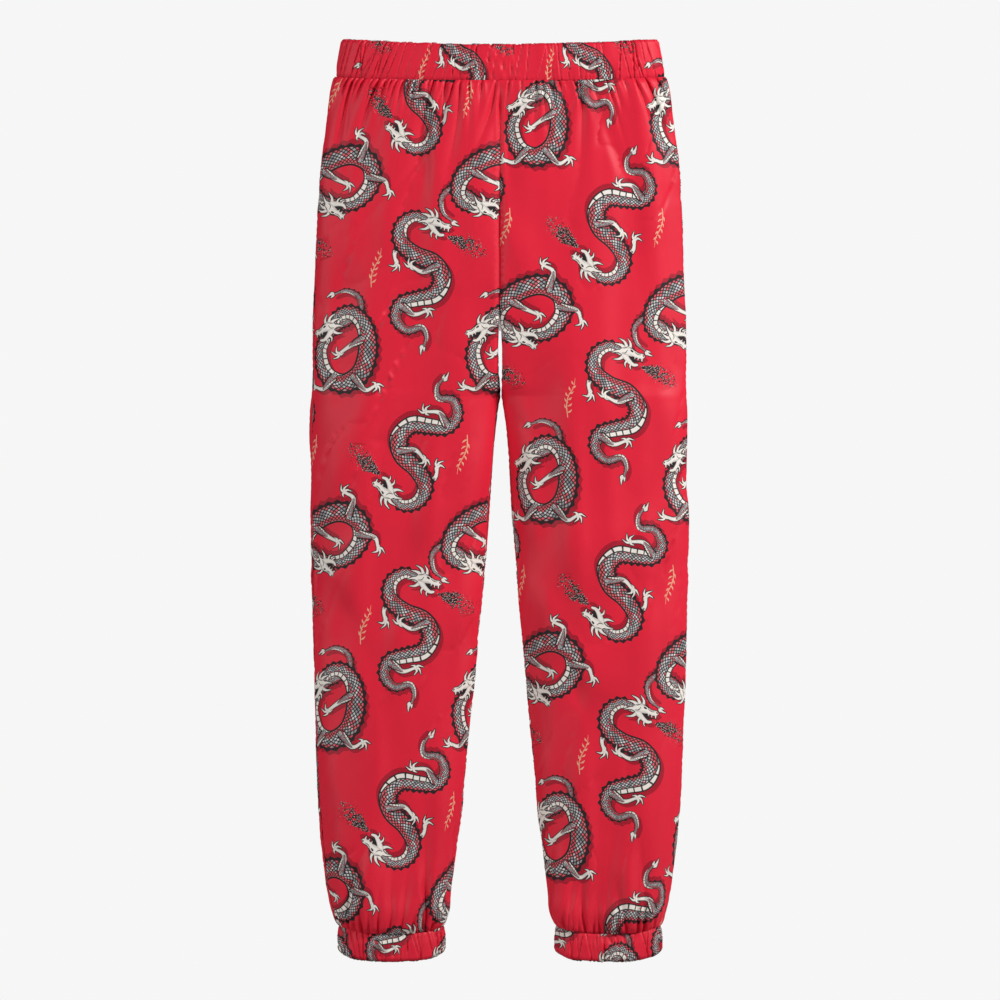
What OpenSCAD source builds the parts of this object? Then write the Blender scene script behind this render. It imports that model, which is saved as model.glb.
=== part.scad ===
// Pull-on trousers: elasticated waistband, two legs of two panels each, elasticated ankle cuffs.
// Origin at the middle of the waist opening, +Z up, front towards -Y, the wearer's left towards +X.
// A "drop" is a distance below the top edge of the waistband, so z = -drop.

/* [Length] */
// Top of the waistband to the hem of the cuffs
total_length = 778; // [740:1:820]
// Height of the waistband
waistband_height = 31; // [28:1:36]
// Top of the waistband to the crotch
crotch_drop = 298; // [285:1:315]
// Height of an ankle cuff
cuff_height = 24; // [20:1:28]

/* [Width] */
// Half the width across the top of the waistband
waist_half_width = 133; // [126:1:140]
// Half the width across the hips
hip_half_width = 159.5; // [152:0.5:168]
// How much narrower the waist seam is than the hips, on each side
waist_gather = 18.5; // [14:0.5:24]
// Width of an ankle cuff
cuff_width = 89; // [84:1:96]
// Middle of an ankle cuff to the middle of the garment
cuff_offset = 91.5; // [89:0.5:96]

/* [Depth] */
// Half the front-to-back depth of the waistband
waist_half_depth = 22; // [18:1:26]
// Half the front-to-back depth at the hips
hip_half_depth = 27; // [24:1:32]
// How much less depth the calf has than the hips
calf_slimming = 6; // [3:1:9]
// Extra depth of the seat behind
seat_fullness = 7; // [0:1:9]
// Half the front-to-back depth of an ankle cuff
cuff_half_depth = 14; // [12:1:16]

/* [Cloth] */
// Thickness of a panel
cloth = 1.2; // [1:0.1:1.5]
// Thickness of each wall of a folded band
band_wall = 1; // [0.8:0.1:1.2]
// Thickness of the elastic
elastic = 1.6; // [1.2:0.1:1.8]
// Width of an overlocked seam allowance
seam_width = 7; // [5:0.5:9]
// Thickness of an overlocked seam allowance
seam_thick = 1; // [0.8:0.1:1.2]

/* [Hip hinge] */
// Room left between the hips and each leg, for the leg to swing
hinge_gap = 24; // [20:1:30]

/* [Hidden] */

red = "crimson";
band_red = "firebrick";
thread_red = "darkred";
white = "whitesmoke";

front = -1;
back = 1;

cuff_top = total_length - cuff_height;
hip_end = crotch_drop + 3;
leg_start = hip_end + hinge_gap;
rise_curve = 95;            // height over which the centre seam turns under to the crotch
rear_rise_fade = 90;        // half the height over which the seat is full
seat_drop = 200;            // where the seat is fullest
gather_fade = 80;           // how fast the waist gathers let go
fork_width = 11;            // half the gap between the legs, below the crotch
fork_fade = 60;
fork_spread = 31;           // how much more the inside leg edges move apart by the cuffs
spread_drop = 400;
taper_drop = 498;           // where the outside leg edge starts to come in
taper_width = 12;
tuck_width = 12;            // how much the cuff pulls the outside leg edge in
tuck_fade = 30;
clear = 0.3;                // room between pieces that lie against each other
hip_rows = 13;
leg_rows = 17;
panel_columns = 12;
band_columns = 30;
ring_columns = 40;
front_band_angle = 35;      // where the front band ends, round the oval from the side
side_power = 2.5;           // squareness of the oval, across
face_power = 1.8;           // squareness of the oval, front to back

// Half-width of the garment's outside edge at a drop
function outer_edge(d) =
    hip_half_width
    - waist_gather * exp(-(d - waistband_height) / gather_fade)
    - taper_width * pow(max(0, d - taper_drop) / (total_length - waistband_height - taper_drop), 1.3)
    - tuck_width * exp((d - cuff_top) / tuck_fade);

// Distance of the inside leg edge from the middle at a drop, 0 above the crotch
function inner_edge(d) =
    d <= crotch_drop ? 0 :
    fork_width * (1 - exp(-(d - crotch_drop) / fork_fade))
    + fork_spread * pow(max(0, d - spread_drop) / (total_length - waistband_height - spread_drop), 1.35)
    + 6 * exp((d - cuff_top) / 8);

function ease(t) = let (c = max(0, min(1, t))) c * c * (3 - 2 * c);

// Half-depth of the garment at a drop, on the front or the back
function half_depth(d, side) =
    waist_half_depth
    + (hip_half_depth - waist_half_depth) * (1 - exp(-(d - waistband_height) / 60))
    - calf_slimming * ease((d - crotch_drop) / 400)
    - (hip_half_depth - calf_slimming - cuff_half_depth) * exp((d - cuff_top) / 25)
    + (side == back ? seat_fullness * exp(-pow((d - seat_drop) / rear_rise_fade, 2)) : 0);

// 0 where the hips are one oval, 1 where each leg is its own
function forked(d) =
    let (t = max(0, min(1, (d - crotch_drop + rise_curve) / rise_curve))) 1 - sqrt(1 - t * t);

// Depth of the oval as a share of its largest, from 0 at the middle or inside leg to 1 outside
function oval(u) = pow(max(0, 1 - pow(min(1, abs(u)), side_power)), 1 / face_power);
function depth_share(u, f) = (1 - f) * oval(u) + f * oval(2 * u - 1);
function across(t, f) = (1 - f) * sin(90 * t) + f * (1 - cos(180 * t)) / 2;

// One point of a panel, inset from its outer face
function panel_point(d, t, side, inset) =
    let (f = forked(d), u = across(t, f), a = inner_edge(d) + inset * f, b = outer_edge(d) - inset)
    [a + (b - a) * u, side * (half_depth(d, side) - inset) * depth_share(u, f), -d];

function panel_grid(drops, side, inset) = [
    for (d = drops) [for (j = [0 : panel_columns]) panel_point(d, j / panel_columns, side, inset)]
];

// One point of an oval band, round its middle
function band_point(a, d, middle, half_width, half_depth) = [
    middle + half_width * sign(cos(a)) * pow(abs(cos(a)), 2 / side_power),
    half_depth * sign(sin(a)) * pow(abs(sin(a)), 2 / face_power),
    -d
];

// A closed sheet between two grids of points; wrap joins its last column to its first
module sheet_solid(faces_out, faces_in, wrap = false, turn = false) {
    rows = len(faces_out);
    columns = len(faces_out[0]);
    size = rows * columns;
    last = wrap ? columns - 1 : columns - 2;
    function at(i, j, layer) = layer * size + i * columns + j % columns;
    skin = [
        for (i = [0 : rows - 2], j = [0 : last], layer = [0, 1])
            let (q = [at(i, j, layer), at(i, j + 1, layer), at(i + 1, j + 1, layer), at(i + 1, j, layer)])
            for (f = [[q[0], q[1], q[2]], [q[0], q[2], q[3]]])
                layer == 0 ? f : [f[2], f[1], f[0]]
    ];
    rims = [
        for (j = [0 : last])
            for (f = [
                [at(0, j, 0), at(0, j, 1), at(0, j + 1, 1)],
                [at(0, j, 0), at(0, j + 1, 1), at(0, j + 1, 0)],
                [at(rows - 1, j, 0), at(rows - 1, j + 1, 1), at(rows - 1, j, 1)],
                [at(rows - 1, j, 0), at(rows - 1, j + 1, 0), at(rows - 1, j + 1, 1)]
            ]) f
    ];
    ends = wrap ? [] : [
        for (i = [0 : rows - 2])
            for (f = [
                [at(i, 0, 0), at(i + 1, 0, 0), at(i + 1, 0, 1)],
                [at(i, 0, 0), at(i + 1, 0, 1), at(i, 0, 1)],
                [at(i, columns - 1, 0), at(i, columns - 1, 1), at(i + 1, columns - 1, 1)],
                [at(i, columns - 1, 0), at(i + 1, columns - 1, 1), at(i + 1, columns - 1, 0)]
            ]) f
    ];
    all_faces = concat(skin, rims, ends);
    polyhedron(
        points = [for (layer = [faces_out, faces_in], row = layer, p = row) p],
        faces = turn ? [for (f = all_faces) [f[2], f[1], f[0]]] : all_faces,
        convexity = 8
    );
}

// The wearer's left half of a panel, with a row at each drop
module panel(drops, side)
    sheet_solid(
        panel_grid(drops, side, 0),
        panel_grid(drops, side, cloth),
        turn = side == back
    );

// A seam allowance that hangs inside from an edge: near and far give its two long edges at a drop
module seam_ribbon(near, far, normal) {
    rows = len(near);
    half = normal * seam_thick / 2;
    sheet_solid(
        [for (i = [0 : rows - 1]) [near[i] - half, far[i] - half]],
        [for (i = [0 : rows - 1]) [near[i] + half, far[i] + half]]
    );
}

// Section of a folded band, as [inset from its outer face, share of its height from the sewn edge]
fold_outside = [[0, 0], [0, 0.6], [0, 0.95], [0.3, 1], [0.7, 1], [1, 0.95], [1, 0.6], [1, 0]];
band_depth = 2 * band_wall + elastic + 2 * clear;

function fold_inside(height) = [
    for (p = fold_outside)
        let (across = band_depth * p[0], up = height * p[1])
        [max(band_wall, min(band_depth - band_wall, across)), min(height - band_wall, up)]
];

// A band of cloth folded over its elastic, between two angles round the oval
module folded_band(seam, hem, seam_size, hem_size, middle, angles, wrap) {
    height = abs(hem - seam);
    columns = wrap ? ring_columns : band_columns;
    function ring(inset, up) = [
        for (j = [0 : wrap ? columns - 1 : columns])
            let (
                d = seam + (hem - seam) * up / height,
                size = seam_size + (hem_size - seam_size) * up / height,
                a = angles[0] + (angles[1] - angles[0]) * j / columns
            )
            band_point(a, d, middle, size[0] - inset, size[1] - inset)
    ];
    inside = fold_inside(height);
    sheet_solid(
        [for (p = fold_outside) ring(band_depth * p[0], height * p[1])],
        [for (p = inside) ring(p[0], p[1])],
        wrap = wrap,
        turn = hem < seam
    );
}

// A flat elastic ring inside a folded band
module elastic_ring(seam, hem, seam_size, hem_size, middle) {
    height = abs(hem - seam);
    inset = band_wall + clear;
    ends = [2.5, height - band_wall - 2];
    function ring(more, up) = [
        for (j = [0 : ring_columns - 1])
            let (
                d = seam + (hem - seam) * up / height,
                size = seam_size + (hem_size - seam_size) * up / height
            )
            band_point(360 * j / ring_columns, d, middle, size[0] - inset - more, size[1] - inset - more)
    ];
    sheet_solid(
        [for (up = ends) ring(0, up)],
        [for (up = ends) ring(elastic, up)],
        wrap = true,
        turn = hem < seam
    );
}

// A ring of overlocked seam allowance that lies against the inside of the panels
module seam_ring(top, middle, size) {
    function ring(more, d) = [
        for (j = [0 : ring_columns - 1])
            band_point(360 * j / ring_columns, d, middle, size[0] - more, size[1] - more)
    ];
    ends = [top, top + seam_width];
    sheet_solid([for (d = ends) ring(0, d)], [for (d = ends) ring(seam_thick, d)], wrap = true);
}

waist_seam_size = [waist_half_width + 6, waist_half_depth];
waist_top_size = [waist_half_width, waist_half_depth - 2];
cuff_size = [cuff_width / 2, cuff_half_depth];
lining = cloth + clear;

module waistband(angles)
    folded_band(waistband_height, 0, waist_seam_size, waist_top_size, 0, angles, false);

module waistband_front() color(band_red) waistband([180 + front_band_angle, 360 - front_band_angle]);
module waistband_back() color(band_red) waistband([-front_band_angle, 180 + front_band_angle]);
module waist_elastic() color(white)
    elastic_ring(waistband_height, 0, waist_seam_size, waist_top_size, 0);
module waist_seam() color(thread_red)
    seam_ring(waistband_height + 2, 0, [
        outer_edge(waistband_height + 2) - lining,
        half_depth(waistband_height + 2, front) - lining
    ]);

hip_drops = [for (i = [0 : hip_rows]) waistband_height + (hip_end - waistband_height) * i / hip_rows];
module hip_panel(side) panel(hip_drops, side);
module left_front_hip() color(red) hip_panel(front);
module left_back_hip() color(red) hip_panel(back);
module right_front_hip() color(red) mirror([1, 0, 0]) hip_panel(front);
module right_back_hip() color(red) mirror([1, 0, 0]) hip_panel(back);

// The allowance of the centre seam stands inwards from the cloth, until it turns under
module centre_seam(side) {
    drops = [for (i = [0 : 10]) 43 + (crotch_drop - 60) * i / 10 * 0.85];
    function skin(d) = (half_depth(d, side) - cloth) * (1 - forked(d)) - 2 * clear;
    seam_ribbon(
        [for (d = drops) [0, side * skin(d), -d]],
        [for (d = drops) [0, side * (skin(d) - seam_width), -d]],
        [side, 0, 0]
    );
}

module centre_front_seam() color(thread_red) centre_seam(front);
module centre_back_seam() color(thread_red) centre_seam(back);

function side_edge(d) = outer_edge(d) - cloth - 2 * clear;
function inside_edge(d) = inner_edge(d) + cloth + 2 * clear;

module side_seam(from, to, rows) {
    drops = [for (i = [0 : rows]) from + (to - from) * i / rows];
    seam_ribbon(
        [for (d = drops) [side_edge(d), 0, -d]],
        [for (d = drops) [side_edge(d) - seam_width, 0, -d]],
        [0, 1, 0]
    );
}

seam_start = waistband_height + seam_width + 5;
seam_end = cuff_top - seam_width - 4;
module left_side_seam_hip() color(thread_red) side_seam(seam_start, hip_end, 10);
module right_side_seam_hip() color(thread_red) mirror([1, 0, 0]) side_seam(seam_start, hip_end, 10);

// A blank woven label, sewn into the waist seam behind, beside the centre seam
module care_label() color(white) translate([17, 17.4, -waistband_height - 42]) cube([26, 0.6, 38]);

// Rows come closer together towards the cuff, where the leg narrows fastest
leg_drops = [for (i = [0 : leg_rows]) cuff_top - (cuff_top - leg_start) * pow(1 - i / leg_rows, 1.7)];
module leg_panel(side) panel(leg_drops, side);
module leg_side_seam() side_seam(leg_start, seam_end, 14);
module leg_inseam() {
    drops = [for (i = [0 : 14]) leg_start + (seam_end - leg_start) * i / 14];
    seam_ribbon(
        [for (d = drops) [inside_edge(d), 0, -d]],
        [for (d = drops) [inside_edge(d) + seam_width, 0, -d]],
        [0, -1, 0]
    );
}
module leg_cuff() folded_band(cuff_top, total_length, cuff_size, cuff_size, cuff_offset, [0, 360], true);
module leg_cuff_elastic() elastic_ring(cuff_top, total_length, cuff_size, cuff_size, cuff_offset);
module leg_cuff_seam() {
    inner = inner_edge(cuff_top) + lining;
    outer = outer_edge(cuff_top) - lining;
    seam_ring(cuff_top - 2 - seam_width, (inner + outer) / 2, [
        (outer - inner) / 2,
        half_depth(cuff_top, front) - lining
    ]);
}

module left_front_leg() color(red) leg_panel(front);
module left_back_leg() color(red) leg_panel(back);
module left_side_seam_leg() color(thread_red) leg_side_seam();
module left_inseam() color(thread_red) leg_inseam();
module left_cuff() color(band_red) leg_cuff();
module left_cuff_elastic() color(white) leg_cuff_elastic();
module left_cuff_seam() color(thread_red) leg_cuff_seam();
module right_front_leg() color(red) mirror([1, 0, 0]) leg_panel(front);
module right_back_leg() color(red) mirror([1, 0, 0]) leg_panel(back);
module right_side_seam_leg() color(thread_red) mirror([1, 0, 0]) leg_side_seam();
module right_inseam() color(thread_red) mirror([1, 0, 0]) leg_inseam();
module right_cuff() color(band_red) mirror([1, 0, 0]) leg_cuff();
module right_cuff_elastic() color(white) mirror([1, 0, 0]) leg_cuff_elastic();
module right_cuff_seam() color(thread_red) mirror([1, 0, 0]) leg_cuff_seam();

waistband_front();
waistband_back();
waist_elastic();
waist_seam();
left_front_hip();
right_front_hip();
left_back_hip();
right_back_hip();
centre_front_seam();
centre_back_seam();
left_side_seam_hip();
right_side_seam_hip();
care_label();
left_front_leg();
left_back_leg();
left_side_seam_leg();
left_inseam();
left_cuff();
left_cuff_elastic();
left_cuff_seam();
right_front_leg();
right_back_leg();
right_side_seam_leg();
right_inseam();
right_cuff();
right_cuff_elastic();
right_cuff_seam();
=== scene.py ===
"""Pull-on trousers in printed satin, with a gathered elastic waistband and gathered elastic cuffs.

The cloth is made flat, as it is cut: the print is laid out on each flat cut, the cut is divided into
triangles along the print's outlines, and every point is then carried onto the hung, gathered form.
"""

import logging
import math
from collections.abc import Callable
from dataclasses import dataclass, field
from enum import Enum, IntEnum

import bpy
import numpy as np
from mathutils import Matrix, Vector
from mathutils.geometry import delaunay_2d_cdt


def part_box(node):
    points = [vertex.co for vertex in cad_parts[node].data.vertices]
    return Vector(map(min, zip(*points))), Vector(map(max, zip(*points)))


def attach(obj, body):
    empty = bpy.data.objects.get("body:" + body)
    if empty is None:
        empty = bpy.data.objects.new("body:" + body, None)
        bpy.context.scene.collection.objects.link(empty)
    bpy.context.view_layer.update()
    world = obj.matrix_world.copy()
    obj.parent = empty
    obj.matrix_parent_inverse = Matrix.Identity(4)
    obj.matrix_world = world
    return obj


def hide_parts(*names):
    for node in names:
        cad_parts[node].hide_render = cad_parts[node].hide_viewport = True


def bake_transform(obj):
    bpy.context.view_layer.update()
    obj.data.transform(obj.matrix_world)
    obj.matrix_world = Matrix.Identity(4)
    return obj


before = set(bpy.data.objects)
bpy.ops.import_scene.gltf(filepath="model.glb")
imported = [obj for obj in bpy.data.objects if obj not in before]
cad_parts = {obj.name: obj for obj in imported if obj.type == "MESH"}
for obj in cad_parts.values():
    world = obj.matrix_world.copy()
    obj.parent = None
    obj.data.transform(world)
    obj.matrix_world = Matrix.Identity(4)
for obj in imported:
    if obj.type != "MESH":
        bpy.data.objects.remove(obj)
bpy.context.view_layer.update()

MM = 0.001
FRONT, BACK = -1, 1
LEFT, RIGHT = 1, -1
log = logging.getLogger("trousers")


class Ink(IntEnum):
    """What is printed on a patch of cloth."""

    CLOTH = 0
    SHADOW = 1
    LINE = 2
    PALE = 3
    SCALES = 4
    SMOKE = 5
    LEAF = 6


class Spot(Enum):
    """The print's repeating ornaments."""

    STRIDING = "striding"
    COILED = "coiled"
    SPRIG = "sprig"


# ---------------------------------------------------------------- small tools


def ease(t: np.ndarray) -> np.ndarray:
    """Smooth step from 0 to 1."""
    c = np.clip(t, 0, 1)
    return c * c * (3 - 2 * c)


def soft_noise(x: np.ndarray, y: np.ndarray, seed: int) -> np.ndarray:
    """Smooth, seeded noise between about -1 and 1, with one bump to a unit.

    Args:
        x: First coordinate of each point.
        y: Second coordinate of each point.
        seed: Picks the pattern.

    Returns:
        The noise at each point.
    """
    size = 64
    grid = np.random.default_rng(seed).uniform(-1, 1, (size, size))
    x, y = np.broadcast_arrays(np.asarray(x, float), np.asarray(y, float))
    i, j = np.floor(x).astype(int), np.floor(y).astype(int)
    u, v = x - i, y - j
    u, v = u * u * u * (u * (6 * u - 15) + 10), v * v * v * (v * (6 * v - 15) + 10)

    def row(up: int) -> np.ndarray:
        """The grid's values along one row of its cells' corners."""
        here, ahead = (grid[(i + across) % size, (j + up) % size] for across in (0, 1))
        return here * (1 - u) + ahead * u

    return row(0) * (1 - v) + row(1) * v


def smooth_line(points: list, per_span: int) -> np.ndarray:
    """A smooth line through the points.

    Args:
        points: The points it passes.
        per_span: Steps between two of them.

    Returns:
        The line's points.
    """
    p = np.asarray(points, float)
    ends = np.vstack([2 * p[0] - p[1], p, 2 * p[-1] - p[-2]])
    t = (np.arange(per_span) / per_span)[:, None]
    out = []
    for k in range(len(p) - 1):
        a, b, c, d = ends[k : k + 4]
        out.append(
            0.5 * (2 * b + (c - a) * t + (2 * a - 5 * b + 4 * c - d) * t**2 + (3 * b - a - 3 * c + d) * t**3)
        )
    return np.vstack([*out, p[-1:]])


def winding(loop: np.ndarray, points: np.ndarray) -> np.ndarray:
    """Which points a closed loop goes round.

    Args:
        loop: The loop's corners.
        points: The points to test.

    Returns:
        True for each point inside.
    """
    (ax, ay), (bx, by) = loop.T, np.roll(loop, -1, axis=0).T
    px, py = points[:, :1], points[:, 1:]
    side = (bx - ax) * (py - ay) - (px - ax) * (by - ay)
    up = (ay <= py) & (by > py) & (side > 0)
    down = (ay > py) & (by <= py) & (side < 0)
    return up.sum(1) != down.sum(1)


def distances(points: np.ndarray) -> np.ndarray:
    """Distance along each line of points from its first one; a line's points are on the last axis but one."""
    steps = np.linalg.norm(np.diff(points, axis=-2), axis=-1)
    return np.concatenate([np.zeros((*steps.shape[:-1], 1)), np.cumsum(steps, axis=-1)], axis=-1)


def spin(degrees: float) -> np.ndarray:
    """The matrix that turns rows of flat points anticlockwise."""
    c, s = math.cos(math.radians(degrees)), math.sin(math.radians(degrees))
    return np.array([[c, s], [-s, c]])


# ---------------------------------------------------------------- the print


@dataclass
class Stroke:
    """A brush stroke of the print: a smooth line with a half-width that changes along it.

    Its teeth stand on the left of its way where crest_side is 1, and on the right where it is -1.
    """

    points: list
    widths: list
    ink: Ink = Ink.PALE
    crest: float = 0.0
    crest_side: int = -1
    per_span: int = 4

    def spine(self) -> tuple[np.ndarray, np.ndarray]:
        """The smooth line and its half-widths."""
        line = smooth_line(self.points, self.per_span)
        at = np.linspace(0, len(self.widths) - 1, len(line))
        return line, np.interp(at, np.arange(len(self.widths)), self.widths)

    def normals(self, line: np.ndarray) -> np.ndarray:
        """The left-hand side of each point of the line."""
        d = np.gradient(line, axis=0)
        d /= np.maximum(np.linalg.norm(d, axis=1), 1e-9)[:, None]
        return np.column_stack([-d[:, 1], d[:, 0]])

    def outline(self, grow: float = 0.0) -> np.ndarray:
        """The stroke's edge, grown outwards by some millimetres."""
        line, half = self.spine()
        half = half[:, None] + grow
        n = self.normals(line)
        start = line[0] - (line[1] - line[0]) / np.linalg.norm(line[1] - line[0]) * half[0]
        end = line[-1] + (line[-1] - line[-2]) / np.linalg.norm(line[-1] - line[-2]) * half[-1]
        return np.vstack([line + n * half, end[None], (line - n * half)[::-1], start[None]])

    def crest_outline(self) -> np.ndarray:
        """A row of teeth along one side."""
        line, half = self.spine()
        tooth = np.where(np.arange(len(line)) % 2 == 0, 0.2, self.crest)
        tall = tooth * np.clip(half / half.max() * 1.6, 0, 1)
        side = self.crest_side * self.normals(line)
        return np.vstack([line + side * (half + tall)[:, None], line[::-1]])

    def locate(self, points: np.ndarray) -> np.ndarray:
        """Where points are on the stroke.

        Args:
            points: Points in the stroke's own plane.

        Returns:
            For each, how far along in half-widths, and how far across, from -1 on the crest's side to 1.
        """
        line, half = self.spine()
        step = np.linalg.norm(np.diff(line, axis=0), axis=1)
        along = np.concatenate([[0], np.cumsum(step / np.maximum((half[1:] + half[:-1]) / 2, 0.3))])
        a, d = line[:-1], np.diff(line, axis=0)
        t = np.clip(((points[:, None] - a) * d).sum(2) / (d * d).sum(1), 0, 1)
        off = points[:, None] - (a + t[..., None] * d)
        best = np.linalg.norm(off, axis=2).argmin(1)
        rows = np.arange(len(points))
        t, off = t[rows, best], off[rows, best]
        n = np.column_stack([-d[best, 1], d[best, 0]])
        n /= np.linalg.norm(n, axis=1)[:, None]
        wide = half[best] * (1 - t) + half[best + 1] * t
        across = -self.crest_side * (off * n).sum(1) / np.maximum(wide, 0.1)
        return np.column_stack([along[best] * (1 - t) + along[best + 1] * t, np.clip(across, -1.4, 1.4)])


@dataclass
class Serpent:
    """An ornament as strokes, from the bottom up.

    Attributes:
        bodies: The crested bodies.
        under: Strokes below the bodies.
        over: Strokes above them.
        lines: Fine lines on top of everything.
        smoke: The smoke's middle, and half its length and width.
        shade: How far the shadow falls from the ornament.
        edge: Width of the dark edge round a stroke.
    """

    bodies: list[Stroke]
    under: list[Stroke] = field(default_factory=list)
    over: list[Stroke] = field(default_factory=list)
    lines: list[Stroke] = field(default_factory=list)
    smoke: tuple = ()
    shade: tuple[float, float] = (2.4, -3.0)
    edge: float = 0.7

    def layers(self) -> list[tuple[np.ndarray, Ink, Stroke | None]]:
        """Every outline of the ornament with its ink, and the stroke that it follows."""
        solid = [s for s in (*self.under, *self.bodies, *self.over) if max(s.widths) > 1.3]
        out = [(s.outline(0.4) + self.shade, Ink.SHADOW, None) for s in solid]
        for s in self.bodies:
            out.append((s.crest_outline() + self.shade, Ink.SHADOW, None))
        out += [(s.outline(self.edge), Ink.LINE, None) for s in self.under]
        out += [(s.outline(), s.ink, s) for s in self.under]
        for s in self.bodies:
            out.append((s.crest_outline(), Ink.LINE, None))
            out.append((s.outline(), s.ink, s))
        out += [(s.outline(self.edge), Ink.LINE, None) for s in self.over]
        out += [(s.outline(), s.ink, s) for s in [*self.over, *self.lines]]
        if self.smoke:
            (x, y), (wide, tall) = self.smoke
            puff = Stroke([(x - wide, y + 4), (x, y), (x + wide, y - 6)], [2.6, tall * 0.8, tall], Ink.SMOKE)
            out.append((puff.outline(), Ink.SMOKE, puff))
        return out


def turned(at: tuple, angle: float, x: float, y: float) -> tuple[float, float]:
    """The point x along and y to the left of a direction from a point."""
    c, s = math.cos(math.radians(angle)), math.sin(math.radians(angle))
    return (at[0] + x * c - y * s, at[1] + x * s + y * c)


def claws(at: tuple, angle: float, size: float = 8.0) -> list[Stroke]:
    """Three long hooked talons and a spur that spread from a paw.

    Args:
        at: The paw's place.
        angle: The way it points, in degrees.
        size: Length of a talon.

    Returns:
        The talons.
    """
    out = []
    for turn, long, hook in ((-62, 0.9, -62), (-14, 1.05, -56), (34, 1.0, -50), (118, 0.6, 60)):
        mid = turned(at, angle + turn, size * long * 0.42, 0)
        tip = turned(mid, angle + turn + hook, size * long * 0.62, 0)
        out.append(Stroke([at, mid, tip], [1.25, 0.85, 0.06], per_span=3))
    return out


def limb(points: list, angle: float) -> list[Stroke]:
    """A scaled thigh, a pale shin and its paw's claws.

    Args:
        points: Hip, knee and paw.
        angle: The way the paw points, in degrees.

    Returns:
        The limb's strokes, from the bottom up.
    """
    shin = Stroke(points, [3.0, 2.1, 1.5, 1.1], Ink.PALE, per_span=4)
    half = ((points[0][0] + points[1][0]) / 2, (points[0][1] + points[1][1]) / 2)
    thigh = Stroke([points[0], half, points[1]], [3.5, 2.9, 1.0], Ink.SCALES, per_span=3)
    return [shin, *claws(points[-1], angle), thigh]


def tuft(at: tuple, angle: float, size: float = 1.0) -> list[Stroke]:
    """The flame-like hair at the end of a tail.

    Args:
        at: The tail's end.
        angle: The way it points, in degrees.
        size: Its size, 1 for 10 mm.

    Returns:
        Its three locks.
    """
    out = []
    for turn, long in ((-34, 7.0), (30, 6.0), (-4, 10.0)):
        mid = turned(at, angle + turn, size * long * 0.5, 0)
        tip = turned(mid, angle + turn * 0.1 + 28, size * long * 0.5, 0)
        out.append(Stroke([at, mid, tip], [0.8 * size, 1.1 * size, 0.12], per_span=3))
    return out


def head(
    at: tuple, angle: float, size: float = 1.0, flip: bool = False
) -> tuple[list[Stroke], list[Stroke]]:
    """A generic horned serpent's head, its mouth open.

    Args:
        at: Where the neck meets it.
        angle: The way the snout points, in degrees.
        size: Its size, 1 for 20 mm.
        flip: True if the jaw is on the left of that way.

    Returns:
        The pale shapes, and the dark lines over them.
    """
    up = -1 if flip else 1

    def stroke(points: list, widths: list, ink: Ink = Ink.PALE, steps: int = 3) -> Stroke:
        """One stroke of the head, put in place."""
        placed = [turned(at, angle, size * x, size * up * y) for x, y in points]
        return Stroke(placed, [w * size for w in widths], ink, per_span=steps)

    pale = [
        stroke([(0, 2), (-5, 4.5), (-11, 4)], [2.0, 1.2, 0.1]),
        stroke([(1, 3), (-3, 8), (-9, 9.5)], [1.7, 1.0, 0.1]),
        stroke([(3, 4), (2, 8.5), (-2, 12)], [1.5, 0.9, 0.1]),
        stroke([(-1, -1), (-6, -1), (-11, -4)], [2.0, 1.1, 0.1]),
        stroke([(0, -3), (-3, -7), (-8, -9)], [1.7, 1.0, 0.1]),
        stroke([(1, -1), (6, -2.6), (11, -4.2)], [1.6, 2.6, 0.4], Ink.LINE),
        stroke([(0, -2.2), (5, -5.6), (10, -7.6), (13.4, -6.6)], [2.7, 1.9, 1.4, 1.0]),
        stroke([(4, -6), (3, -9), (4.6, -12)], [1.0, 0.7, 0.1]),
        stroke([(8, -7.5), (8, -10), (9.6, -12)], [0.8, 0.6, 0.1]),
        stroke([(-2, 0.8), (3, 1.8), (7, 1.6)], [3.3, 3.9, 3.0]),
        stroke([(6, 1.8), (11, 1.0), (15.4, 1.7)], [2.8, 2.0, 2.3]),
        stroke([(9.4, -0.6), (9.6, -2.6)], [0.6, 0.15], steps=2),
        stroke([(12.4, -0.8), (12.6, -2.8)], [0.6, 0.15], steps=2),
        stroke([(15.6, -0.4), (16.4, -3.0)], [0.7, 0.15], steps=2),
    ]
    lines = [
        stroke([(4.4, 3.2), (6.4, 2.6)], [0.85, 0.5], Ink.LINE, 2),
        stroke([(2.6, 5.0), (5.6, 5.0), (8.2, 3.6)], [0.2, 0.5, 0.2], Ink.LINE),
        stroke([(15.6, 2.6), (16.8, 1.9)], [0.55, 0.4], Ink.LINE, 2),
        stroke([(8, 2.8), (11, 1.9), (13.6, 2.4)], [0.2, 0.32, 0.15], Ink.LINE),
        stroke([(-2.4, -1.4), (0.4, -0.4), (1.4, 2.6)], [0.2, 0.4, 0.2], Ink.LINE),
        stroke([(-3.6, 2.6), (-1.4, 3.4), (0.6, 5.2)], [0.2, 0.35, 0.2], Ink.LINE),
        stroke([(9, -3.6), (13, -3.9), (16, -2.9), (18.6, -4.6)], [0.5, 0.55, 0.4, 0.12], Ink.LINE),
    ]
    return pale, lines


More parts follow.
